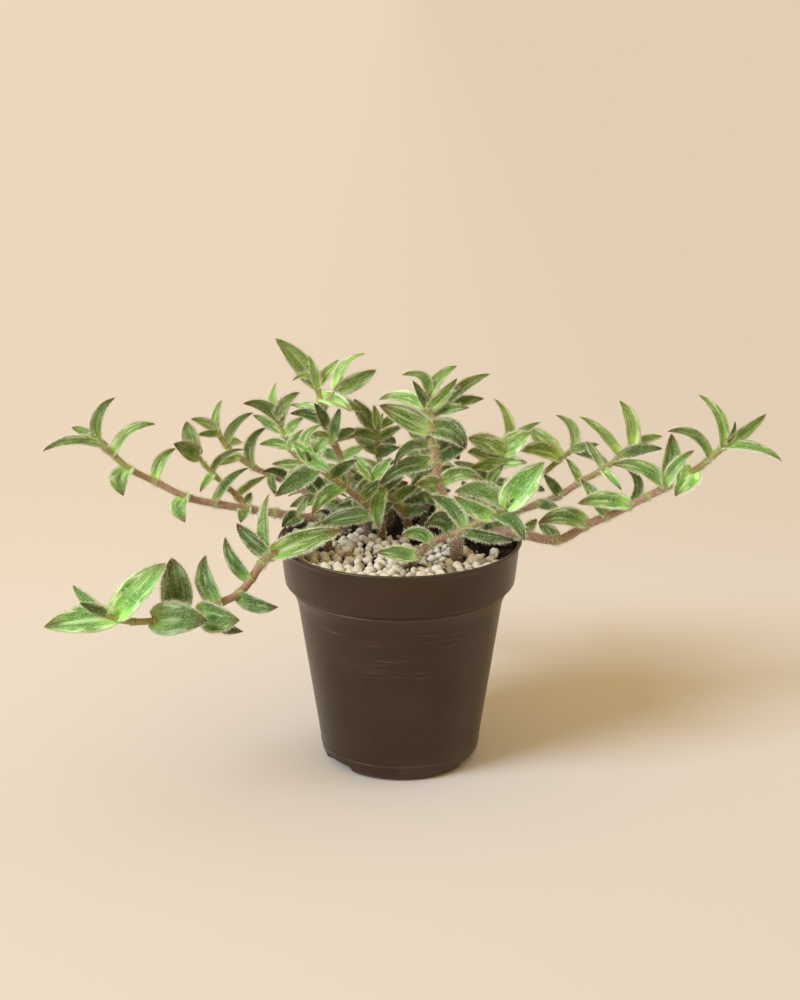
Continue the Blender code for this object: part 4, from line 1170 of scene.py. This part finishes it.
def leaf_blade(layout, grow=0.0, first=0):
    """The blade's points and triangles: a lofted, shallow boat that ends in a point."""
    half = layout[-1]
    points = []
    for share, breadth, thick in STATIONS[first:]:
        centre, _, up, side = blade_axes(layout, share)
        reach = half * breadth + grow
        rise = half * breadth * TROUGH
        depth = thick * MM + grow
        points.append(centre - side * reach + up * rise)
        points.append(centre + up * depth)
        points.append(centre + side * reach + up * rise)
        points.append(centre - up * depth)
    points.append(layout[2])
    rings = len(points) // 4
    faces = [(0, 3, 1), (2, 1, 3)]
    for ring in range(rings - 1):
        left, top, right, under = range(4 * ring, 4 * ring + 4)
        far_left, far_top, far_right, far_under = range(4 * ring + 4, 4 * ring + 8)
        faces += [(left, top, far_top), (left, far_top, far_left)]
        faces += [(top, right, far_top), (right, far_right, far_top)]
        faces += [(right, under, far_under), (right, far_under, far_right)]
        faces += [(under, left, far_under), (left, far_left, far_under)]
    last = 4 * (rings - 1)
    end = len(points) - 1
    for corner in range(4):
        faces.append((last + corner, last + (corner + 1) % 4, end))
    return points, faces


def tree_of(points, faces):
    return BVHTree.FromPolygons([tuple(p) for p in points], faces)


def mesh_tree(mesh):
    return tree_of([v.co for v in mesh.vertices], [tuple(p.vertices) for p in mesh.polygons])


def box_of(points):
    low = [min(p[axis] for p in points) for axis in range(3)]
    high = [max(p[axis] for p in points) for axis in range(3)]
    return low, high


def boxes_meet(one, other):
    return all(one[0][i] <= other[1][i] and other[0][i] <= one[1][i] for i in range(3))


def no_go_bodies():
    """Plain stand-ins for the top of the dressing and for the pot's collar."""
    dressing = [(inner_radius(SOIL_TOP + 0.008), DRESSING_TOP), (0.0001, DRESSING_TOP)]
    collar = inner_profile()[3:] + outer_profile()[:8]
    sides = 40
    bodies = []
    for profile in (dressing, collar):
        size = len(profile)
        points = []
        faces = []
        for turn in range(sides):
            angle = 2 * math.pi * turn / sides
            points += [Vector((r * math.cos(angle), r * math.sin(angle), z)) for r, z in profile]
            after = (turn + 1) % sides
            for step in range(size - 1):
                corner, beyond = turn * size + step, after * size + step
                faces.append((corner, corner + 1, beyond + 1, beyond))
        bodies.append((None, box_of(points), tree_of(points, faces)))
    return bodies


def bent_clear(leaf, node, heading, seen, name, bodies, own):
    """The leaf's layout at the first bend that clears every other stem, and best its own too."""
    spare = None
    for bend in BENDS_MM:
        layout = leaf_layout(leaf, node, heading, seen, bend)
        points, faces = leaf_blade(layout, grow=BEND_ROOM_MM * MM)
        box = box_of(points)
        near = [tree for owner, other, tree in bodies if owner != name and boxes_meet(box, other)]
        trial = tree_of(points, faces)
        if any(trial.overlap(tree) for tree in near):
            continue
        spare = spare or layout
        outer = tree_of(*leaf_blade(layout, grow=0.0, first=1))
        if not any(outer.overlap(tree) for tree in own):
            return layout
    return spare


@functools.cache
def grown_plant():
    """Every stem's shoots, and its leaves as the part's own rule bends them clear of each other."""
    shoots = {name: shoots_of(stem) for name, stem in STEMS.items()}
    bodies = no_go_bodies()
    for name, runs in shoots.items():
        for run in runs:
            mesh = tube(name, run)
            bodies.append((name, box_of([v.co for v in mesh.vertices]), mesh_tree(mesh)))
            bpy.data.meshes.remove(mesh)
    leaves = {}
    for name, stem in STEMS.items():
        own = []
        leaves[name] = []
        for run in shoots[name]:
            for index, (node, borne) in enumerate(run["nodes"]):
                for leaf in borne:
                    layout = bent_clear(leaf, node, run["headings"][index], stem["seen"], name, bodies, own)
                    if layout is None:
                        continue
                    points, faces = leaf_blade(layout)
                    bodies.append((name, box_of(points), tree_of(points, faces)))
                    own.append(tree_of(*leaf_blade(layout, first=1)))
                    youth = (index + 1) / len(run["nodes"])
                    leaves[name].append((layout, youth))
    return shoots, leaves


# Stalks and their sheaths

STALK_STEP = 0.0008
STALK_SIDES = 12
SHEATH_LENGTH = 0.0023

# Under each node a stalk swells, and at the node it is ringed: where, and over what length
SWELLING_BELOW = 0.0008
SWELLING_LENGTH = 0.0016
RING_ABOVE = 0.0003
RING_LENGTH = 0.00045
RING_DEPTH = 0.10

# Shares of the usual down on a stalk, and what its nodes have more
STALK_HAIRS = 0.15
NODE_HAIRS = 0.5

# A stalk's fine dark lines, the scars under its nodes, and the painted shade on its foot, low in the pot
# under the leaves
STALK_LINE = (0.15, 0.07, 0.05)
NODE_SCAR = (0.15, 0.07, 0.04)
PAINTED_FOOT_SHADE = (0.075, 0.040, 0.026)


def stalk_line(run):
    """Points close together along a shoot, how far along each lies, and how far along its nodes lie."""
    points = []
    if run["foot"]:
        steps = 8
        points += [run["foot"].lerp(run["knots"][0], step / steps) for step in range(steps)]
    marks = []
    for index in range(len(run["knots"]) - 1):
        span = (run["knots"][index + 1] - run["knots"][index]).length
        steps = max(3, round(span / STALK_STEP))
        marks.append(len(points))
        points += [on_curve(run["knots"], run["reaches"], index, step / steps) for step in range(steps)]
    marks.append(len(points))
    points.append(run["knots"][-1])
    lengths = [0.0]
    for before, point in zip(points, points[1:]):
        lengths.append(lengths[-1] + (point - before).length)
    return points, lengths, [lengths[mark] for mark in marks[1:]]


def headings_along(points):
    ends = [points[0]] + points + [points[-1]]
    return [(after - before).normalized() for before, after in zip(ends, ends[2:])]


def stalk_form(run, swelling, draft):
    """Adds a shoot to the draft: round, thinning, swollen under each node and ringed at it.

    Gives each node's place, the stalk's heading there, and its radius.
    """
    points, lengths, nodes_at = stalk_line(run)
    total = lengths[-1]
    start = len(draft.points)
    side = None
    for point, heading, length in zip(points, headings_along(points), lengths):
        side = square_to(side or heading.orthogonal(), heading)
        other = heading.cross(side)
        off = min((length - at for at in nodes_at), key=abs)
        radius = run["girth"] * MM / 2 * taper(length / total)
        radius *= 1 + swelling * math.exp(-(((off + SWELLING_BELOW) / SWELLING_LENGTH) ** 2))
        radius *= 1 - RING_DEPTH * math.exp(-(((off - RING_ABOVE) / RING_LENGTH) ** 2))
        past = (length - (total - radius)) / radius
        if past > 0:
            radius *= math.sqrt(max(0.02, 1 - past**2))
        buried = point.z < SOIL_TOP + 0.007
        hairs = 0.0 if buried else STALK_HAIRS + NODE_HAIRS * math.exp(-((off / 0.0012) ** 2))
        for corner in range(STALK_SIDES):
            angle = math.tau * corner / STALK_SIDES
            out = side * math.cos(angle) + other * math.sin(angle)
            draft.put(
                point + out * radius, from_node=off / MM, to_tip=(total - length) / MM,
                spin_x=math.cos(angle), spin_y=math.sin(angle), run_mm=length / MM,
                hair_share=hairs, hair_long=1.05, hair_aim=out + heading * 0.35,
            )
    count = len(points)
    draft.join(ring_faces(count, STALK_SIDES), start)
    draft.join([reversed(range(STALK_SIDES)), range((count - 1) * STALK_SIDES, count * STALK_SIDES)], start)
    radii = [run["girth"] * MM / 2 * taper(at / total) for at in nodes_at]
    return zip(run["knots"][1:], run["headings"], radii)


def sheath_form():
    """One sheath round a stalk of radius 1: a thin, flared cuff that is longer on the leaf's side."""
    sides, wall = 14, 0.08
    outside = ((-1.0, 1.02), (-0.5, 1.08), (0.0, 1.15), (0.28, 1.27))
    rows = [*outside, *((z, r - wall) for z, r in reversed(outside))]
    draft = Draft()
    for z, radius in rows:
        for corner in range(sides):
            angle = math.tau * corner / sides
            towards = 0.5 + 0.5 * math.cos(angle)
            height = z * (0.75 + 0.45 * towards) if z > 0 else z
            flare = radius + 0.12 * towards * max(0.0, z + 0.5)
            rim = (z + 1.0) / (1.0 + outside[-1][0])
            draft.put(Vector((flare * math.cos(angle), flare * math.sin(angle), height)), rim=rim)
    draft.join(ring_faces(len(rows), sides))
    last = (len(rows) - 1) * sides
    for corner in range(sides):
        after = (corner + 1) % sides
        draft.faces.append((last + corner, last + after, after, corner))
    return add_object("sheath_form", draft.mesh("sheath_form"))


@functools.cache
def sheath_tree():
    """Sets a sheath on each point, along its stalk and open towards its leaf."""
    tree, given = new_geometry_tree("Sheaths", {
        "Object": ("Form",), "Float": ("Length",), "Material": ("Material",),
    })
    form = add(tree, "GeometryNodeObjectInfo", {"Object": given["Form"], "As Instance": True}, "Geometry")
    upright = add(
        tree, "FunctionNodeAlignRotationToVector", {"Vector": named(tree, "heading", "FLOAT_VECTOR")},
        axis="Z",
    )
    turned_out = upright.into(
        "FunctionNodeAlignRotationToVector", {"Vector": named(tree, "lean", "FLOAT_VECTOR")},
        axis="X", pivot_axis="Z",
    )
    radius = named(tree, "radius")
    placed = given["Geometry"].into("GeometryNodeInstanceOnPoints", {
        "Instance": form, "Rotation": turned_out, "Scale": vector_from(tree, radius, radius, given["Length"]),
    })
    toned = placed.into("GeometryNodeStoreNamedAttribute", {
        "Name": "tone", "Value": random_value(tree, 0.0, 1.0, 2),
    }, data_type="FLOAT", domain="INSTANCE")
    real = toned.into("GeometryNodeRealizeInstances")
    return end_tree(tree, real, given["Material"], smooth=True)


def stalk_material():
    look = settings("stalk")
    made, tree, shader = new_material(
        "stalk_skin", Roughness=0.5, Sheen_Weight=0.2, Subsurface_Weight=0.1, Subsurface_Scale=0.001
    )
    from_node, to_tip, spin_x, spin_y, run_mm = (
        value_of(tree, label) for label in ("from_node", "to_tip", "spin_x", "spin_y", "run_mm")
    )
    spot = place_on_object(tree)
    x, y, height = spot.parts()
    off_node = abs(from_node)
    lines = vector_from(tree, spin_x, spin_y, run_mm * 0.05).noise(3.2)
    blotches = spot.noise(150.0)
    colour = to_tip.ramp(40.0, 8.0).blend(look.bark, look.young)
    colour = (lines.ramp(0.45, 0.75) * 0.30).blend(colour, STALK_LINE)
    greener = off_node.ramp(3.4, 0.6) * blotches.ramp(0.35, 0.6, 0.25, 0.85)
    colour = greener.blend(colour, look.young)
    colour = off_node.ramp(0.7, 0.2, 0.0, 0.7).blend(colour, look.ring)
    scar = from_node.ramp(-1.5, -1.0) * from_node.ramp(-0.4, -0.8)
    colour = (scar * 0.6).blend(colour, NODE_SCAR)
    # Darker low down and inside the pot's rim: painted shade on the stalks' feet
    shaded = height.ramp(0.132, 0.110, 0.0, 0.6) * off_axis(x, y).ramp(0.058, 0.048)
    feed(shader.inputs["Base Color"], shaded.blend(colour, PAINTED_FOOT_SHADE))
    raise_surface(shader, lines, 0.0002, 0.5)
    return made


def sheath_material():
    look = settings("stalk")
    made, tree, shader = new_material(
        "leaf_sheath", Roughness=0.55, Sheen_Weight=0.3, Subsurface_Weight=0.15, Subsurface_Scale=0.001
    )
    veins = place_on_object(tree).noise(900.0)
    rim = value_of(tree, "rim")
    colour = (veins.ramp(0.45, 0.65) * rim.ramp(0.9, 0.2, 0.0, 0.65)).blend(look.sheath, look.bark)
    feed(shader.inputs["Base Color"], rim.ramp(0.8, 1.0, 0.0, 0.5).blend(colour, look.ring))
    return made


def lean_of(heading, leaves_here):
    """Which way a sheath opens: towards its leaf, or else down."""
    if leaves_here:
        base, _, tip, _, _ = leaves_here[0]
        return square_to(tip - base, heading)
    return square_to(-UP, heading)


@functools.cache
def stalk_drafts():
    """Each stem's stalk as a draft, and the points where its sheaths sit."""
    shoots, leaves = grown_plant()
    drafts = {}
    for name, runs in shoots.items():
        stalk, cuffs = Draft(), Draft()
        for run in runs:
            for knot, heading, radius in stalk_form(run, settings("stalk").swelling, stalk):
                near = [layout for layout, _ in leaves[name] if (layout[0] - knot).length < 0.001]
                cuffs.put(
                    knot - heading * 0.0002, heading=heading, lean=lean_of(heading, near), radius=radius
                )
        drafts[name] = stalk, cuffs
    return drafts


def make_stalks():
    skin, cuff = stalk_material(), sheath_material()
    form = sheath_form()
    for name, (stalk, cuffs) in stalk_drafts().items():
        body = add_object(name + "_stalk", stalk.mesh(name + "_stalk"))
        body.data.shade_smooth()
        body.data.materials.append(skin)
        sheaths = add_object(name + "_sheaths", cuffs.mesh(name + "_sheaths"))
        grown_by(sheaths, sheath_tree(), {"Form": form, "Length": SHEATH_LENGTH, "Material": cuff})
        settle(joined(name + "_stalk", [body, sheaths]), "leaf_and_stem", name)
    bpy.data.objects.remove(form, do_unlink=True)


# Leaves

BLADE_ROWS = 17
BLADE_COLUMNS = 10
WIDEST_AT = 0.36
ROOT_BREADTH = 0.42
KEEL = 0.20

# Two folded leaves at each shoot's tip: turn, length, and how far it stands open
BUDS = ((0.0, 0.0085, 0.32), (2.5, 0.0065, 0.22))
BUD_HALF_WIDTH = 0.0015
BLADE_SEED = 21


def breadth_at(share):
    """A blade's breadth: it clasps the stalk, swells to its widest, and tapers to a point."""
    if share < WIDEST_AT:
        return ROOT_BREADTH + (1 - ROOT_BREADTH) * math.sin(math.pi / 2 * share / WIDEST_AT) ** 0.6
    past = (share - WIDEST_AT) / (1 - WIDEST_AT)
    return max(0.0, 1 - past**2.0) ** 0.88


def trough_at(share):
    """How deep a blade is folded along its middle: round the stalk at its root, and again at its tip."""
    return TROUGH + 0.13 + 0.60 * math.exp(-share / 0.08) + 0.22 * share**4


def leaf_form(layout, youth, tone, draft):
    """Adds a boat-shaped blade to the draft, with a keel, thin edges and a slight wave."""
    _, pull, tip, _, half = layout
    thickest = settings("leaf").thickness
    wave = random.Random(int(tone * 1e6))
    phase, ripples, twist = wave.uniform(0, math.tau), wave.uniform(1.6, 2.8), wave.uniform(-0.12, 0.12)
    start = len(draft.points)

    def put(point, share, v, under, aim, hairs, long):
        draft.put(
            point, along=share, across=v, under=under, tone=tone, youth=youth,
            hair_share=hairs, hair_long=long, hair_aim=aim,
        )

    across = [2 * column / BLADE_COLUMNS - 1 for column in range(BLADE_COLUMNS + 1)]
    loop = [(v, 1) for v in across] + [(v, -1) for v in reversed(across[1:-1])]
    for row in range(BLADE_ROWS):
        share = (row / BLADE_ROWS) ** 0.92
        centre, along, up, side = blade_axes(layout, share)
        spin = Matrix.Rotation(twist * math.sin(math.pi * share), 3, along)
        up, side = spin @ up, spin @ side
        reach = half * breadth_at(share)
        fold = reach * trough_at(share)
        for v, top in loop:
            rise = fold * (math.sqrt(v * v + KEEL * KEEL) - KEEL) / (math.sqrt(1 + KEEL * KEEL) - KEEL)
            rise += 0.05 * reach * v * v * math.sin(math.tau * ripples * share + phase + v)
            thick = thickest * (1 - 0.45 * share) * (1 - v * v) ** 0.6 * (1.25 if top < 0 and v == 0 else 1)
            narrow = 1 - 0.06 * v * v
            point = centre + side * v * reach * narrow + up * (rise + top * thick)
            if abs(v) == 1:
                aim = side * v * 1.1 + along * 0.7 + up * 0.25
                put(point, share, v, 0.5, aim, 1.0, 1.0 + 0.2 * youth)
            else:
                aim = along * 0.9 + up * top * 0.7
                put(point, share, v, 0.0 if top > 0 else 1.0, aim, 0.03 if top > 0 else 0.05, 0.55)
    put(tip, 1.0, 0.0, 0.5, (tip - pull).normalized(), 0.6, 0.8)
    size = len(loop)
    faces = ring_faces(BLADE_ROWS, size)
    last = (BLADE_ROWS - 1) * size
    end = BLADE_ROWS * size
    faces += [(last + corner, last + (corner + 1) % size, end) for corner in range(size)]
    for column in range(BLADE_COLUMNS):
        after = column + 1
        under = [(size - step) % size for step in (column, after)]
        corners = dict.fromkeys((column, after, under[1] if after < BLADE_COLUMNS else after, under[0]))
        if len(corners) > 2:
            faces.append(tuple(corners))
    draft.join(faces, start)


def bud_layouts(run, draw):
    """The youngest, still folded leaves at a shoot's tip."""
    knot, heading = run["knots"][-1], run["headings"][-1]
    start = draw.uniform(0, math.tau)
    side = heading.orthogonal()
    for turn, length, open_by in BUDS:
        out = Matrix.Rotation(start + turn, 3, heading) @ side
        tip = knot + (heading + out * open_by).normalized() * length
        base = knot - heading * 0.0008
        yield base, (base + tip) / 2 + out * length * 0.10, tip, -out, BUD_HALF_WIDTH


@functools.cache
def leaf_drafts():
    """Each stem's leaves and buds as a draft."""
    shoots, leaves = grown_plant()
    drafts = {}
    draw = random.Random(BLADE_SEED)
    for name, borne in leaves.items():
        blades = Draft()
        for layout, youth in borne:
            leaf_form(layout, youth**2, draw.random(), blades)
        for run in shoots[name]:
            for layout in bud_layouts(run, draw):
                leaf_form(layout, 1.0, draw.random(), blades)
        drafts[name] = blades
    return drafts


def leaf_material():
    look = settings("leaf")
    made, tree, shader = new_material(
        "downy_leaf", Roughness=0.5, Sheen_Weight=0.04, Sheen_Roughness=0.5, Subsurface_Weight=0.12,
        Subsurface_Scale=0.0012, Specular_IOR_Level=0.20, Specular_Tint=(0.95, 1.0, 0.62),
    )
    along, across, under, tone, youth = (
        value_of(tree, label) for label in ("along", "across", "under", "tone", "youth")
    )
    off_middle = abs(across)
    shift = tone * 57.0

    def pattern(over_width, over_length, detail=1.0):
        on_blade = vector_from(tree, across * over_width, along * over_length, shift)
        return on_blade.noise(1.0, detail, 0.6)

    cloudy = pattern(2.2, 1.6, 2.0)
    streaks = pattern(8.0, 1.5)
    hairlines = pattern(20.0, 2.4)
    flecks = pattern(17.0, 26.0, 2.0)
    spot = place_on_object(tree)
    mottle = spot.noise(700.0)

    limes = along.ramp(0.36, 0.02) * 0.85 + youth * 0.27 + cloudy.ramp(0.42, 0.68, 0.0, 0.3)
    colour = limes.held().blend(look.green, look.lime)

    lines = streaks.ramp(0.50, 0.70, 0.0, 0.22) + hairlines.ramp(0.53, 0.66, 0.0, 0.34)
    lines = lines * off_middle.ramp(0.10, 0.72, 0.40, 1.0) * along.ramp(1.0, 0.7, 0.3, 1.0)
    band = off_middle.ramp(0.30, 0.02, 0.0, 0.5) * cloudy.ramp(0.47, 0.62)
    haze = pattern(3.0, 3.2, 2.0).ramp(0.46, 0.60, 0.0, 0.74) * off_middle.ramp(0.30, 0.85, 0.06, 1.0)
    silvered = (lines + (band + haze)).held().at_least(flecks.ramp(0.59, 0.66, 0.0, 0.8))
    colour = silvered.blend(colour, look.silver)

    beneath = hairlines.ramp(0.4, 0.7, 0.0, 0.6).blend(look.olive, look.lime)
    colour = under.ramp(0.4, 0.9).blend(colour, beneath)

    worn = youth.ramp(0.35, 0.05) * tone.ramp(0.45, 1.0, 0.0, 0.34)
    colour = worn.blend(colour, look.worn)
    browned = along.ramp(0.66, 0.97) * mottle.ramp(0.3, 0.6, 0.45, 0.95) * youth.ramp(0.6, 1.0, 1.0, 0.45)
    sunned = off_middle.ramp(0.66, 0.9) * streaks.ramp(0.4, 0.65, 0.0, 0.45) * along.ramp(0.15, 0.6)
    colour = browned.at_least(sunned).blend(colour, look.purple)
    thin_edge = off_middle.ramp(0.82, 0.95, 0.0, 0.85) * flecks.ramp(0.35, 0.55, 0.45, 1.0)
    colour = thin_edge.blend(colour, look.margin)

    # The hue turns from green in front to olive behind: painted shade for the back of the plant
    deep = spot.parts()[1]
    varied = add(tree, "ShaderNodeHueSaturation", {
        "Hue": tone.ramp(0.0, 1.0, -0.010, 0.010) + deep.ramp(-0.05, 0.05, 0.516, 0.480),
        "Value": tone.ramp(0.0, 1.0, 0.52, 1.50), "Color": colour,
    })
    feed(shader.inputs["Base Color"], varied)
    feed(shader.inputs["Roughness"], mottle.ramp(0.3, 0.7, 0.42, 0.62))
    raise_surface(shader, streaks + (hairlines + mottle) * 0.4, 0.0004, 0.8)
    return made


def make_leaves():
    skin = leaf_material()
    for name, blades in leaf_drafts().items():
        leaves = add_object(name + "_leaves", blades.mesh(name + "_leaves"))
        leaves.data.shade_smooth()
        leaves.data.materials.append(skin)
        settle(leaves, "leaf_and_stem")


# The down on stalks and leaves


@functools.cache
def down_tree():
    """Sets fine tapering hairs over a surface, where and whither its points say."""
    tree, given = new_geometry_tree("Down", {
        "Float": ("Density", "Length", "Thickness", "Spread"), "Int": ("Seed",), "Material": ("Material",),
    })
    scattered = given["Geometry"].into("GeometryNodeDistributePointsOnFaces", {
        "Density": given["Density"] * named(tree, "hair_share"), "Seed": given["Seed"],
    }, distribute_method="RANDOM")
    stray = random_value(tree, (-1.0, -1.0, -1.0), (1.0, 1.0, 1.0), 4, "FLOAT_VECTOR")
    aim = named(tree, "hair_aim", "FLOAT_VECTOR").into(
        "ShaderNodeVectorMath", {1: stray.scaled(given["Spread"])}, operation="ADD"
    )
    hair = add(tree, "GeometryNodeMeshCone", {
        "Vertices": 3, "Side Segments": 1, "Radius Top": 0.0, "Radius Bottom": given["Thickness"] * 0.5,
        "Depth": given["Length"],
    }, fill_type="NONE")
    long = named(tree, "hair_long") * random_value(tree, 0.45, 1.15, 6)
    placed = scattered.into("GeometryNodeInstanceOnPoints", {
        "Instance": hair, "Scale": vector_from(tree, 1.0, 1.0, long),
        "Rotation": add(tree, "FunctionNodeAlignRotationToVector", {"Vector": aim}, axis="Z"),
    })
    real = placed.into("GeometryNodeRealizeInstances")
    return end_tree(tree, real, given["Material"], smooth=False)


def down_material():
    made, tree, shader = new_material("soft_hair", Roughness=0.6, Specular_IOR_Level=0.3, Sheen_Weight=0.2)
    pale = settings("down").colour
    darker = place_on_object(tree).noise(240.0).ramp(0.3, 0.7, 0.0, 0.35)
    feed(shader.inputs["Base Color"], darker.blend(pale, pale * 0.6))
    return made


def make_down():
    look = settings("down")
    hair = down_material()
    for name, (stalk, _) in stalk_drafts().items():
        ground = Draft()
        for source in (stalk, leaf_drafts()[name]):
            ground.join(source.faces, len(ground.points))
            ground.points += source.points
            for label in ("hair_share", "hair_long", "hair_aim"):
                ground.values.setdefault(label, []).extend(source.values[label])
        down = add_object(name + "_down", ground.mesh(name + "_down"))
        grown_by(down, down_tree(), {
            "Density": look.density * 1e6, "Length": look.length, "Thickness": look.thickness,
            "Spread": look.spread, "Seed": look.seed, "Material": hair,
        })
        settle(down, "leaf_and_stem")


# The stage

CAMERA_PLACE = (0.0, -0.833, 0.391)
CAMERA_PITCH = SKETCH_TILT
SENSOR_MM = 36.0
FOCAL_LENGTH_MM = 64.55
FLOOR_REACH = 60.0
KEY_AIM = Vector((0.666, 0.400, -0.629))
FILL_AIM = Vector((-0.60, -0.45, -0.66))
FILL_SHARE = 0.12
KEY_SOFTNESS = 26
FILL_SOFTNESS = 45


def add_sun(name, aim, strength, colour, softness):
    """A light that shines one way, from a patch of sky so many degrees across."""
    light = bpy.data.lights.new(name, "SUN")
    light.energy = strength
    light.color = colour
    light.angle = math.radians(softness)
    add_object(name, light).rotation_euler = aim.to_track_quat("-Z", "Y").to_euler()


def make_stage():
    look = settings("stage")
    form = bmesh.new()
    bmesh.ops.create_grid(form, x_segments=1, y_segments=1, size=FLOOR_REACH)
    floor = add_object("floor", mesh_of(form, "floor"))
    paper, tree, shader = new_material("plain_floor", Roughness=0.95, Specular_IOR_Level=0.0)
    right, deep, _ = place_on_object(tree).parts()
    # Darker towards the right: painted falloff of the light over the floor
    floor_painted_falloff = add(tree, "ShaderNodeHueSaturation", {
        "Value": right.ramp(-0.25, 0.35, 1.03, 0.93),
        "Color": deep.ramp(0.1, 0.5).blend(look.floor, look.distance),
    })
    feed(shader.inputs["Base Color"], floor_painted_falloff)
    floor.data.materials.append(paper)

    world = bpy.data.worlds.new("room")
    world.use_nodes = True
    room = world.node_tree
    upward = place_on_object(room).parts()[2]
    air = upward.ramp(0.10, 0.34).blend(look.horizon, look.air_colour * look.air_strength)
    feed(room.nodes["Background"].inputs["Color"], air)
    bpy.context.scene.world = world
    add_sun("key_light", KEY_AIM, look.key_strength, look.key_colour, KEY_SOFTNESS)
    add_sun("fill_light", FILL_AIM, look.key_strength * FILL_SHARE, look.key_colour, FILL_SOFTNESS)

    camera = bpy.data.cameras.new("camera")
    camera.lens = FOCAL_LENGTH_MM
    camera.sensor_width = SENSOR_MM
    camera.clip_start = 0.01
    viewer = add_object("camera", camera)
    viewer.location = CAMERA_PLACE
    viewer.rotation_euler = (math.pi / 2 - CAMERA_PITCH, 0.0, 0.0)
    bpy.context.scene.camera = viewer
    bpy.context.scene.view_settings.view_transform = "Standard"


# Operators, panel and registration


class TRADESCANTIA_OT_pot(bpy.types.Operator):
    """Turn the nursery pot and cut its drain notches"""

    bl_idname = "tradescantia.pot"
    bl_label = "Nursery pot"

    def execute(self, context):
        make_pot()
        return {"FINISHED"}


class TRADESCANTIA_OT_soil(bpy.types.Operator):
    """Fill the pot with soil"""

    bl_idname = "tradescantia.soil"
    bl_label = "Soil"

    def execute(self, context):
        make_soil()
        return {"FINISHED"}


class TRADESCANTIA_OT_dressing(bpy.types.Operator):
    """Scatter the pumice granules and the crumbs of soil"""

    bl_idname = "tradescantia.dressing"
    bl_label = "Pumice dressing"

    def execute(self, context):
        make_dressing()
        return {"FINISHED"}


class TRADESCANTIA_OT_stalks(bpy.types.Operator):
    """Grow every stalk with its nodes and sheaths"""

    bl_idname = "tradescantia.stalks"
    bl_label = "Stalks"

    def execute(self, context):
        make_stalks()
        return {"FINISHED"}


class TRADESCANTIA_OT_leaves(bpy.types.Operator):
    """Grow every stem's leaves"""

    bl_idname = "tradescantia.leaves"
    bl_label = "Leaves"

    def execute(self, context):
        make_leaves()
        return {"FINISHED"}


class TRADESCANTIA_OT_down(bpy.types.Operator):
    """Cover stalks and leaves with soft hairs"""

    bl_idname = "tradescantia.down"
    bl_label = "Down"

    def execute(self, context):
        make_down()
        return {"FINISHED"}


class TRADESCANTIA_OT_stage(bpy.types.Operator):
    """Lay the floor and set the lights and the camera"""

    bl_idname = "tradescantia.stage"
    bl_label = "Stage"

    def execute(self, context):
        make_stage()
        return {"FINISHED"}


OPERATORS = (
    TRADESCANTIA_OT_pot, TRADESCANTIA_OT_soil, TRADESCANTIA_OT_dressing, TRADESCANTIA_OT_stalks,
    TRADESCANTIA_OT_leaves, TRADESCANTIA_OT_down, TRADESCANTIA_OT_stage,
)


class TRADESCANTIA_PT_sidebar(bpy.types.Panel):
    """The tradescantia's settings, and a button for each of its pieces"""

    bl_label = "Tradescantia"
    bl_idname = "TRADESCANTIA_PT_sidebar"
    bl_space_type = "VIEW_3D"
    bl_region_type = "UI"
    bl_category = "Tradescantia"

    def draw(self, context):
        for name in SETTINGS:
            box = self.layout.box()
            group = getattr(context.scene, name)
            for key in group.bl_rna.properties.keys():
                if key not in ("rna_type", "name"):
                    box.prop(group, key)
        for made in OPERATORS:
            self.layout.operator(made.bl_idname)


CLASSES = (*SETTINGS.values(), *OPERATORS, TRADESCANTIA_PT_sidebar)


def register():
    for made in CLASSES:
        bpy.utils.register_class(made)
    for name, group in SETTINGS.items():
        setattr(bpy.types.Scene, name, PointerProperty(type=group))


def unregister():
    for name in SETTINGS:
        delattr(bpy.types.Scene, name)
    for made in reversed(CLASSES):
        bpy.utils.unregister_class(made)


def main():
    register()
    for made in OPERATORS:
        group, action = made.bl_idname.split(".")
        getattr(getattr(bpy.ops, group), action)()


if __name__ == "__main__":
    main()
